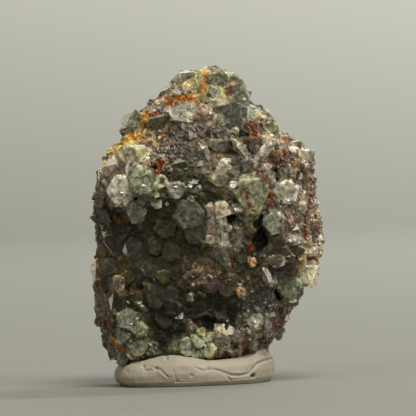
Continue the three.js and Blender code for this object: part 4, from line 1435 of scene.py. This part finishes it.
def shell_colour(entry):
    share = SHADY_CLEAR_SHARE if entry["name"] in SHADY_TINTS else CLEAR_SHARE
    return np.minimum(entry["colour"] * (1 - share) + CLEAR_BODY * share, 1)


def crystal_turn(entry, rng):
    """How a crystal leans: the front's large ones by a little, the others with the rock below them."""
    if entry["layer"] == "front":
        sway = 0.08 if entry["kind"] == "quartz" else 0.1 if entry["width"] > 4.5 else 0.18
        return np.array(Euler((rng.gauss(0, sway), 0, rng.gauss(0, sway))).to_matrix())
    tilt = Vector(entry["out"]) + Vector([rng.gauss(0, 0.2) for _ in range(3)])
    return np.array(turn_to(tilt, 0))


def grow_core(skin, entry, form, shape, place, dressed):
    """A crystal's dusty core in the skin, and on the front the pale rim around it."""
    core = 1.0
    if dressed and entry["layer"] == "front":
        core = CORE_SHARE
        light = SHADY_RIM_LIGHT if entry["name"] in SHADY_TINTS else RIM_LIGHT
        skin.grow(form, shape, place - entry["out"] * RIM_DROP, entry["colour"] * light)
    elif dressed:
        core = SMALL_CORE_SHARE
    skin.grow(form, shape * core, place, entry["colour"], PHANTOM_SHARE if entry["width"] > PHANTOM_FROM else 0)


def make_rock():
    """The matrix with its crystals' dusty cores, fused into one skin, and the clear crystals around the cores."""
    rng = random.Random(ROCK_SEED)
    rock, points, outs = make_base()
    skin = Skin(points, outs, waves(points, 3.0, 1) * 0.35 - 0.1)
    sharp = crystal_forms(random.Random(FORM_SEED))
    soft = crystal_forms(random.Random(FORM_SEED), SOFT_EDGE)
    shells = {name: Cluster() for name in SHELL_MATERIALS}
    for entry in crystal_plan(rock):
        state = rng.getstate()
        form, shape = shaped_crystal(entry, sharp, rng)
        rng.setstate(state)
        shell, shell_shape = shaped_crystal(entry, soft, rng)
        turn = crystal_turn(entry, rng)
        shape = shape @ turn.T
        place = seated(shape, entry["spot"], entry["out"], entry["stand"])
        dressed = has_shell(entry, rng) and not on_stain(entry["spot"])
        grow_core(skin, entry, form, shape, place, dressed)
        if dressed and not in_pocket(entry["spot"]):
            group = shells[shell_group(entry["kind"], entry["name"])]
            group.add(shell, shell_shape @ turn.T + place, shell_colour(entry))
    finish_skin(rock, skin)
    add_glints(shells["quartz"], surface_trees(["matrix_rock"]))
    for name, cluster in shells.items():
        dress(cluster.piece(f"{name}_crystals", SHELL_MATERIALS[name]()), "fluorite_on_quartz")


# Seen through their glassy skin the crystals look darker and warmer than their tints
TINT_DEPTH = np.array([0.82, 0.77, 0.62])
# The share of its zone's tint in each crystal's; how light bare matrix and phantoms are to it; how much the
# painted highlight lightens facet edges and how far from them it reaches; how light the painted shade leaves the
# deepest pockets
ZONE_SHARE = 0.35
MATRIX_LIGHT = 0.6
PHANTOM_SHADE = 0.3
EDGE_PAINTED_HIGHLIGHT = 1.7
EDGE_HIGHLIGHT_REACH = 0.2
POCKET_PAINTED_SHADE = 0.45
# How strongly colour stands out from grey
VIVIDNESS = 1.05
# The lowest and the highest that the skin may move, in mm
SKIN_LIMITS = (-0.6, 3.0)
# A stain's ragged rims wander this far in waves of this size, in mm; how strong and how light its tint is
STAIN_WANDER = 0.9
STAIN_WAVES = 1.3
STAIN_COVER = 0.85
STAIN_LIGHT = 1.1


def stain(points, tints):
    """Lays the iron stains' tints on the front along their seams, with ragged rims."""
    x = points[:, 0] + waves(points, STAIN_WAVES, 5) * STAIN_WANDER
    z = points[:, 2] + waves(points, STAIN_WAVES, 6) * STAIN_WANDER
    for name, width, *route in STAINS:
        share = np.clip(1.5 - route_distance(x, z, route) / (width * 0.6), 0, 1) * (points[:, 1] < 0)
        tints += (tint_of(name) * STAIN_LIGHT - tints) * share[:, None] * STAIN_COVER


def skin_tints(skin):
    """The skin's colours before its stains: each crystal's own, its zone's, phantoms, painted highlights along the
    facet edges and mottling.
    """
    points = skin.points
    wander = np.array([noise.noise_vector(Vector(point) * 0.5) for point in points]) * 1.2
    field = zone_colours(points + wander)
    crystal = np.array(skin.tints)[skin.owners][:, :3]
    crystal[skin.owners == 0] = field[skin.owners == 0] * MATRIX_LIGHT
    tints = (crystal * (1 - ZONE_SHARE) + field * ZONE_SHARE) * TINT_DEPTH
    tints *= np.exp(waves(points, 2.2, 2) * 0.4 + waves(points, 0.9, 3) * 0.3)[:, None]
    tints *= (1 - PHANTOM_SHADE * skin.cores)[:, None]
    # Painted highlight: pale lines along the crystals' facet edges, in patches
    rims = np.exp(-skin.edges / EDGE_HIGHLIGHT_REACH) * np.clip(waves(points, 4.0, 4) * 1.5 + 0.6, 0, 1)
    tints *= (1 + EDGE_PAINTED_HIGHLIGHT * rims)[:, None]
    grey = tints.mean(1)[:, None]
    return np.maximum(grey + (tints - grey) * VIVIDNESS, 0)


def finish_skin(rock, skin):
    """Moves the skin out, opens its pockets, paints shade into them by their depth and lays on its tints."""
    points, tints = skin.points, skin_tints(skin)
    stain(points, tints)
    grown = points + skin.outs * np.clip(skin.heights, *SKIN_LIMITS)[:, None]
    for index in np.nonzero(points[:, 1] < 0)[0]:
        depth = pocket_depth(points[index][0], points[index][2])
        if depth:
            grown[index][1] += depth
            # Painted shade: the deeper the pocket, the darker its tint
            tints[index] *= POCKET_PAINTED_SHADE + (1 - POCKET_PAINTED_SHADE) * max(0.0, 1 - depth / 1.5)
    place_vertices(rock.data, moved(grown, STANCE))
    lay_tints(rock.data, np.column_stack([np.clip(tints, 0, 1), np.ones(len(points))]))
    coat(rock.data, fused_crystal())
    dress(rock, "fluorite_on_quartz")


# The grains and the stains

# The grains are joined into one mesh for each belt of the rock, up to these heights in mm
GRAIN_BELTS = {"lower_grains": 23, "middle_grains": 42, "upper_grains": 90}
SHARD_COUNT = 10
SHARD_CUTS = (0.3, 0.5)
# How far apart the places are that are tried, to a grain's width, and how seldom grains stand where few rule
GRAIN_SPACING = 0.85
GRAIN_FALL = 2.2
GRAIN_CHANCE = 0.8
# How deep a grain sits, to its width, and how light it is to its tint
GRAIN_SEAT = 0.22
GRAIN_LIGHT = 0.68
# Rays come from this far outside the rock and aim at its axis, a little lower, between two heights; in mm
RAY_START = 20
RAY_DROP = 3
AXIS_ENDS = (12, 56)


def make_grains():
    """The fine sugary crust of quartz and fluorite grains."""
    rng = random.Random(GRAIN_SEED)
    shards = [cut_cube(1.0, [(random_way(rng), rng.uniform(*SHARD_CUTS)) for _ in range(3)])
              for _ in range(SHARD_COUNT)]
    belts = {name: Cluster() for name in GRAIN_BELTS}
    spacing = sizes().grain * GRAIN_SPACING
    places = [place for place in outer_places(spacing, rng) if not in_pocket(place[0])]
    spots = [spot for spot, _ in places]
    names, grainy = drawn_tints(spots, np.random.default_rng(GRAIN_SEED))
    for (spot, out), name, share, field in zip(places, names, grainy, zone_colours(spots)):
        if rng.random() > share ** GRAIN_FALL * GRAIN_CHANCE or on_large(spot, 0.4):
            continue
        size = sizes().grain * math.exp(rng.gauss(0, 0.35))
        form = rng.choice(shards)
        points = rotated(form[0] * size, random_turn(rng)) + spot - out * size * GRAIN_SEAT
        belt = next(key for key, height in GRAIN_BELTS.items() if spot[2] < height)
        belts[belt].add(form, points, varied(name, rng, 0.3, field, 0.6) * GRAIN_LIGHT)
    fine = fine_crystal()
    for name, cluster in belts.items():
        dress(cluster.piece(name, fine), "fluorite_on_quartz")


def outer_places(spacing, rng):
    """Places on the rock that can be reached from outside, each with the way out, in mm."""
    tree, = surface_trees(["matrix_rock"])
    places = []
    top = ROCK_ROWS[-1][0]
    for level in np.arange(ROCK_ROWS[0][0], top + 6, spacing):
        left, right, front, back = row_at(level)
        around = math.pi * ((right - left) / 2 + (front + back) / 2)
        count = max(6, int(around / spacing))
        for number in range(count):
            angle = (number + rng.random()) / count * math.tau
            height = level + rng.uniform(-0.5, 0.5) * spacing
            lowest, highest = AXIS_ENDS
            axis = Vector(((left + right) / 2, 0, min(max(height - RAY_DROP, lowest), highest)))
            edge = Vector(rock_point(min(height, top), angle, 0, 1))
            edge.z = height
            way = (axis - edge).normalized()
            spot = tree.ray_cast(edge - way * RAY_START, way)[0]
            if spot is not None:
                places.append((np.array(spot), -np.array(way)))
    return places


def surface_trees(names):
    """A search tree for each of the pieces, in the rock's frame, in mm."""
    arrays = [mesh_arrays(bpy.data.objects[name]) for name in names]
    return [BVHTree.FromPolygons(points.tolist(), faces.tolist()) for points, faces in arrays]


def front_spot(trees, x, z):
    """The nearest surface behind a point seen from the front, in mm."""
    start = Vector((x, -60, z))
    spots = [tree.ray_cast(start, Vector((0, 1, 0)))[0] for tree in trees]
    spots = [spot for spot in spots if spot is not None]
    return np.array(min(spots, key=lambda spot: spot.y)) if spots else None


SURFACE_PIECES = ["matrix_rock", "clear_crystals", "cloudy_crystals", "quartz_crystals", *GRAIN_BELTS]
# How many crumbs a stain has for each square mm, how far they stray to its width, and how flat they are
CRUMBS = 11
YELLOW_CRUMBS = 4
CRUMBS_ADDED = 4
CRUMB_SPREAD = 0.33
CRUMB_FLATNESS = np.array([1, 0.35, 1])


def make_stains():
    """Crumbs of iron stain along the seams where they show in red and orange."""
    trees = surface_trees(SURFACE_PIECES)
    rng = random.Random(STAIN_SEED)
    lumps = [lump_form(rng) for _ in range(6)]
    stains = Cluster()
    for name, width, *route in STAINS:
        crumbs = YELLOW_CRUMBS if name == "yellow" else CRUMBS
        for (x0, z0), (x1, z1) in zip(route, route[1:]):
            length = math.hypot(x1 - x0, z1 - z0)
            for _ in range(int(length * width * crumbs) + CRUMBS_ADDED):
                along = rng.random()
                x = x0 + (x1 - x0) * along + rng.gauss(0, width * CRUMB_SPREAD)
                z = z0 + (z1 - z0) * along + rng.gauss(0, width * CRUMB_SPREAD)
                spot = front_spot(trees, x, z)
                if spot is None:
                    continue
                form = rng.choice(lumps)
                points = rotated(form[0] * sizes().stain_lump * rng.uniform(0.5, 1.5), random_turn(rng))
                stains.add(form, points * CRUMB_FLATNESS + spot, varied(name, rng, 0.4))
    dress(stains.piece("iron_stains", iron_stain()), "fluorite_on_quartz")


# The putty foot

# Creases pressed into the foot's front, in mm as seen from the front: width, depth, the points they run through
CREASES = [
    (0.24, 0.34,
     (3.6, 3.5), (5.0, 2.9), (6.9, 2.75), (8.8, 3.1), (9.9, 4.3), (10.8, 5.2), (12.5, 5.7), (13.9, 5.8)),
    (0.22, 0.26, (-0.1, 3.9), (1.3, 4.2), (3.1, 3.7), (4.5, 2.5), (5.2, 1.4), (5.5, 0.6)),
    (0.24, 0.2, (9.3, 6.2), (9.0, 4.4), (8.4, 3.2)),
    (0.2, 0.2, (-11.1, 4.5), (-9.9, 4.2), (-8.8, 3.2), (-8.1, 2.6)),
    (0.2, 0.14, (-13.4, 4.4), (-12.7, 3.8), (-11.3, 3.9), (-10.1, 4.2)),
    (0.2, 0.09, (-6.9, 3.9), (-6.6, 2.6), (-6.1, 1.6), (-4.8, 0.9)),
    (0.25, 0.25, (11.2, 7.2), (12.0, 7.0), (12.7, 7.1)),
    (0.22, 0.15, (-2.4, 4.6), (-0.9, 3.9), (0.2, 4.3)),
    (0.22, 0.12, (5.0, 1.9), (8.2, 2.2)),
]
# Small pits: x, z, width, depth
PITS = [(9.8, 2.6, 0.5, 1.6), (-8.4, 6.5, 0.5, 0.7), (-10.6, 4.3, 0.6, 0.5), (0.4, 4.2, 0.6, 0.5),
        (-13.2, 4.6, 0.45, 0.4), (-6.2, 1.6, 0.5, 0.35), (-16.4, 2.9, 0.4, 0.25), (-3.1, 2.9, 0.5, 0.3)]
# Finger marks: middle x, z, reach, and the ridges' run in degrees
FINGER_MARKS = [(-16.2, 2.2, 2.6, 75), (-11.4, 2.0, 2.4, 30), (-4.4, 4.6, 2.4, -35), (5.4, 4.4, 2.2, 15),
                (12.2, 3.2, 2.0, 80), (1.4, 2.4, 2.0, 55)]
RIDGE_SPACING = 0.5
RIDGE_HEIGHT = 0.03
RIDGE_BEND = 0.12
# A crease's width to its drawn width, its lip's place and width to the same, and the lip's height to the depth
CREASE_WIDTH = 1.35
LIP_PLACE = 1.9
LIP_WIDTH = 1.1
LIP_HEIGHT = 0.2
PIT_WIDTH = 0.7
MARK_WIDTH = 0.8
# The blunt left end: where it starts, its run, how far it's pushed in, and how much higher it stands, in mm
BLUNT_START = -13.0
BLUNT_RUN = 6
BLUNT_PUSH = 0.5
BLUNT_FOOT = 2.5
BLUNT_RISE = 0.36
# The size of the soft remesh, in mm; faces that look down more than this stay flat on the table
VOXEL = 0.17
UNDERSIDE = -0.5


def bell(distance, width):
    """1 at the middle, and falling away over a width."""
    return np.exp(-(distance / width) ** 2)


def crease_depth(x, z):
    """How deep the creases and pits are at points of the foot, seen from the front."""
    depth, lip = np.zeros((2, len(x)))
    for width, deep, *route in CREASES:
        nearest = route_distance(x, z, route)
        depth = np.maximum(depth, deep * bell(nearest, width * CREASE_WIDTH))
        lip = np.maximum(lip, deep * LIP_HEIGHT * bell(nearest - width * LIP_PLACE, width * LIP_WIDTH))
    for mx, mz, width, deep in PITS:
        depth = np.maximum(depth, deep * bell(np.hypot(x - mx, z - mz), width * PIT_WIDTH))
    return depth - lip


def ridges(x, z):
    """The fine ridges that fingers left."""
    height = np.zeros(len(x))
    for mx, mz, reach, degrees in FINGER_MARKS:
        run = math.radians(degrees)
        away = (x - mx) * math.cos(run) + (z - mz) * math.sin(run) + RIDGE_BEND * (x - mx) * (z - mz)
        fade = bell(np.hypot(x - mx, z - mz), reach * MARK_WIDTH)
        height += fade * RIDGE_HEIGHT * np.sin(away * math.tau / RIDGE_SPACING)
    return height


def unevenness(point):
    """The putty's soft folds and fine dents, in mm."""
    point = Vector(point)
    return noise.fractal(point * 0.25, 1.0, 2.0, 2) * 0.2 + noise.noise(point * 1.3) * 0.03


def soft_foot():
    """A copy of the foot's solid with its edges melted away."""
    select_none()
    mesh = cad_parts["putty_foot"].data.copy()
    putty = bpy.data.objects.new("pressed_putty", mesh)
    bpy.context.scene.collection.objects.link(putty)
    putty.select_set(True)
    bpy.context.view_layer.objects.active = putty
    mesh.materials.clear()
    set_mode("EDIT", "SELECT")
    bpy.ops.mesh.remove_doubles(threshold=0.001 * MM)
    set_mode("OBJECT")
    remesh = putty.modifiers.new("soft", "REMESH")
    remesh.mode = "VOXEL"
    remesh.voxel_size = VOXEL * MM
    bpy.ops.object.modifier_apply(modifier=remesh.name)
    smooth = putty.modifiers.new("smooth", "SMOOTH")
    smooth.factor, smooth.iterations = 0.5, 8
    bpy.ops.object.modifier_apply(modifier=smooth.name)
    return putty


def make_putty():
    """The foot: the solid's own form, softened, with folds, creases and finger marks pressed in."""
    putty = soft_foot()
    places = vertex_places(putty.data)
    outs = ways_out(places, mesh_arrays(putty)[1])
    x, y, z = to_rock(places).T
    blunt = np.clip((BLUNT_START - x) / BLUNT_RUN, 0, 1)
    places[:, 0] -= BLUNT_PUSH * np.minimum(z / BLUNT_FOOT, 1) * blunt * MM
    places[:, 2] += BLUNT_RISE * z * blunt * MM
    press = np.array([unevenness(point) for point in np.column_stack([x, y, z])])
    front = ridges(x, z) * (1 - np.abs(outs[:, 2])) - crease_depth(x, z)
    press += np.where(y < 0, front, ridges(x * 0.9 + 3, z))
    press[outs[:, 2] < UNDERSIDE] = 0
    outs[:, 1] = np.where(y > 0, outs[:, 1], np.minimum(outs[:, 1], -0.3))
    places += outs * press[:, None] * MM
    places[:, 2] = np.maximum(places[:, 2], 0)
    place_vertices(putty.data, places)
    coat(putty.data, pressed_putty())
    dress(putty, "putty_foot")


# The stage

# The paper's size, how far its middle lies back, the height of its wall and the radius of its bend, in metres
PAPER_WIDTH = 3.6
PAPER_LENGTH = 3.3
PAPER_BACK = 0.45
WALL_HEIGHT = 1.8
BEND_RADIUS = 0.7


def select_edges(mesh, wanted):
    """Selects the edges whose two ends are both wanted, and goes to edit them."""
    set_mode("EDIT", "DESELECT")
    set_mode("OBJECT")
    for edge in mesh.edges:
        edge.select = all(wanted(mesh.vertices[end].co) for end in edge.vertices)
    set_mode("EDIT")
    bpy.ops.mesh.select_mode(type="EDGE")


def make_stage():
    """Pale paper that sweeps up behind, the soft boxes and the camera."""
    select_none()
    bpy.ops.mesh.primitive_plane_add(size=1, location=(0, 0, 0))
    sweep = bpy.context.active_object
    sweep.name = "paper_sweep"
    set_mode("EDIT", "SELECT")
    bpy.ops.transform.resize(value=(PAPER_WIDTH, PAPER_LENGTH, 1))
    bpy.ops.transform.translate(value=(0, PAPER_BACK, 0))
    select_edges(sweep.data, lambda end: end.y > 0)
    bpy.ops.mesh.extrude_region_move(TRANSFORM_OT_translate={"value": (0, 0, WALL_HEIGHT)})
    select_edges(sweep.data, lambda end: end.y > 0 and end.z < 0.01)
    bpy.ops.mesh.bevel(offset=BEND_RADIUS, segments=24, affect="EDGES")
    set_mode("OBJECT")
    coat(sweep.data, stage_paper())
    make_lights()
    make_camera()


def soft_box(name, place, aim, size, watts, colour):
    """A round soft light at a place, turned to what it lights."""
    light = bpy.data.lights.new(name, "AREA")
    light.shape, light.size, light.energy, light.color = "DISK", size, watts, colour
    lamp = bpy.data.objects.new(name, light)
    lamp.location = place
    lamp.rotation_euler = (Vector(aim) - Vector(place)).to_track_quat("-Z", "Y").to_euler()
    bpy.context.scene.collection.objects.link(lamp)


WARM_LIGHT = (1.0, 0.975, 0.92)
SPECIMEN_MIDDLE = (0, 0, 0.035)
WALL_RIGHT = (0.9, 2.0, 0.35)
ROOM_COLOUR = "#d6cfba"
ROOM_STRENGTH = 0.6


def make_lights():
    """Three soft boxes on the specimen, one on the wall, and the faint light of the room."""
    soft_box("top_box", (0.2, -0.5, 1.0), SPECIMEN_MIDDLE, 0.5, 12.0, WARM_LIGHT)
    soft_box("right_box", (0.9, -0.65, 0.45), SPECIMEN_MIDDLE, 0.4, 6.0, WARM_LIGHT)
    soft_box("left_box", (-0.6, -0.6, 0.75), SPECIMEN_MIDDLE, 0.2, 1.5, (1.0, 0.99, 0.96))
    soft_box("backdrop_box", (0.85, 0.6, 1.4), WALL_RIGHT, 0.7, 70.0, (0.985, 1.0, 0.965))
    world = bpy.data.worlds.new("soft_room")
    bpy.context.scene.world = world
    world.use_nodes = True
    background = world.node_tree.nodes["Background"]
    background.inputs["Color"].default_value = srgb(ROOM_COLOUR)
    background.inputs["Strength"].default_value = ROOM_STRENGTH


# The camera looks straight at the front, level with the specimen's middle, from a long way off
CAMERA_DISTANCE = 1.0
ELEVATION = math.radians(1.0)
SENSOR_WIDTH = 36
# The photo's side and the pixels of the rock's axis and of the table, and the size of a pixel in mm
PHOTO_SIDE = 416
AXIS_PIXEL = 206.5
TABLE_PIXEL = 388
PIXEL = 0.21
VIEW_WIDTH = PHOTO_SIDE * PIXEL * MM
# The middle of the view, at the depth of the rock's front, in mm
VIEW_MIDDLE = Vector(((PHOTO_SIDE / 2 - AXIS_PIXEL) * PIXEL, -8.0, (TABLE_PIXEL - PHOTO_SIDE / 2) * PIXEL))


def make_camera():
    """The camera, turned so that the rock stands upright in the picture."""
    camera_data = bpy.data.cameras.new("camera")
    camera_data.sensor_width = SENSOR_WIDTH
    camera_data.lens = SENSOR_WIDTH * CAMERA_DISTANCE / VIEW_WIDTH
    camera_data.clip_end = 20
    camera = bpy.data.objects.new("camera", camera_data)
    turn = Matrix.Rotation(math.radians(90) - ELEVATION, 4, "X") @ Matrix.Rotation(-LEAN, 4, "Z")
    back = turn.to_3x3() @ Vector((0, 0, CAMERA_DISTANCE))
    camera.matrix_world = Matrix.Translation(STANCE @ VIEW_MIDDLE + back) @ turn
    bpy.context.scene.collection.objects.link(camera)
    bpy.context.scene.camera = camera
    bpy.context.scene.view_settings.view_transform = "Standard"


# The add-on

class SPECIMEN_OT_rock(bpy.types.Operator):
    """Make the matrix and its crystals"""
    bl_idname = "specimen.rock"
    bl_label = "Matrix rock"

    def execute(self, context):
        make_rock()
        return {"FINISHED"}


class SPECIMEN_OT_grains(bpy.types.Operator):
    """Cover the rock with its fine sugary crust"""
    bl_idname = "specimen.grains"
    bl_label = "Grains"

    def execute(self, context):
        make_grains()
        return {"FINISHED"}


class SPECIMEN_OT_stains(bpy.types.Operator):
    """Lay the crumbs of iron stain along their seams"""
    bl_idname = "specimen.stains"
    bl_label = "Iron stains"

    def execute(self, context):
        make_stains()
        return {"FINISHED"}


class SPECIMEN_OT_putty(bpy.types.Operator):
    """Make the pressed putty foot"""
    bl_idname = "specimen.putty"
    bl_label = "Putty foot"

    def execute(self, context):
        make_putty()
        return {"FINISHED"}


class SPECIMEN_OT_stage(bpy.types.Operator):
    """Make the paper sweep, the lights and the camera"""
    bl_idname = "specimen.stage"
    bl_label = "Stage"

    def execute(self, context):
        make_stage()
        return {"FINISHED"}


OPERATORS = (SPECIMEN_OT_rock, SPECIMEN_OT_grains, SPECIMEN_OT_stains, SPECIMEN_OT_putty, SPECIMEN_OT_stage)


class SPECIMEN_PT_panel(bpy.types.Panel):
    """Lists the pieces of the specimen in the sidebar"""
    bl_idname = "SPECIMEN_PT_panel"
    bl_label = "Fluorite specimen"
    bl_space_type = "VIEW_3D"
    bl_region_type = "UI"
    bl_category = "Specimen"

    def draw(self, context):
        for operator in OPERATORS:
            self.layout.operator(operator.bl_idname)


CLASSES = (SpecimenColours, SpecimenSizes, *OPERATORS, SPECIMEN_PT_panel)


def register():
    for cls in CLASSES:
        bpy.utils.register_class(cls)
    bpy.types.Scene.specimen_colours = bpy.props.PointerProperty(type=SpecimenColours)
    bpy.types.Scene.specimen_sizes = bpy.props.PointerProperty(type=SpecimenSizes)


def unregister():
    del bpy.types.Scene.specimen_sizes
    del bpy.types.Scene.specimen_colours
    for cls in reversed(CLASSES):
        bpy.utils.unregister_class(cls)


def main():
    register()
    bpy.ops.specimen.rock()
    bpy.ops.specimen.grains()
    bpy.ops.specimen.stains()
    bpy.ops.specimen.putty()
    bpy.ops.specimen.stage()


if __name__ == "__main__":
    main()
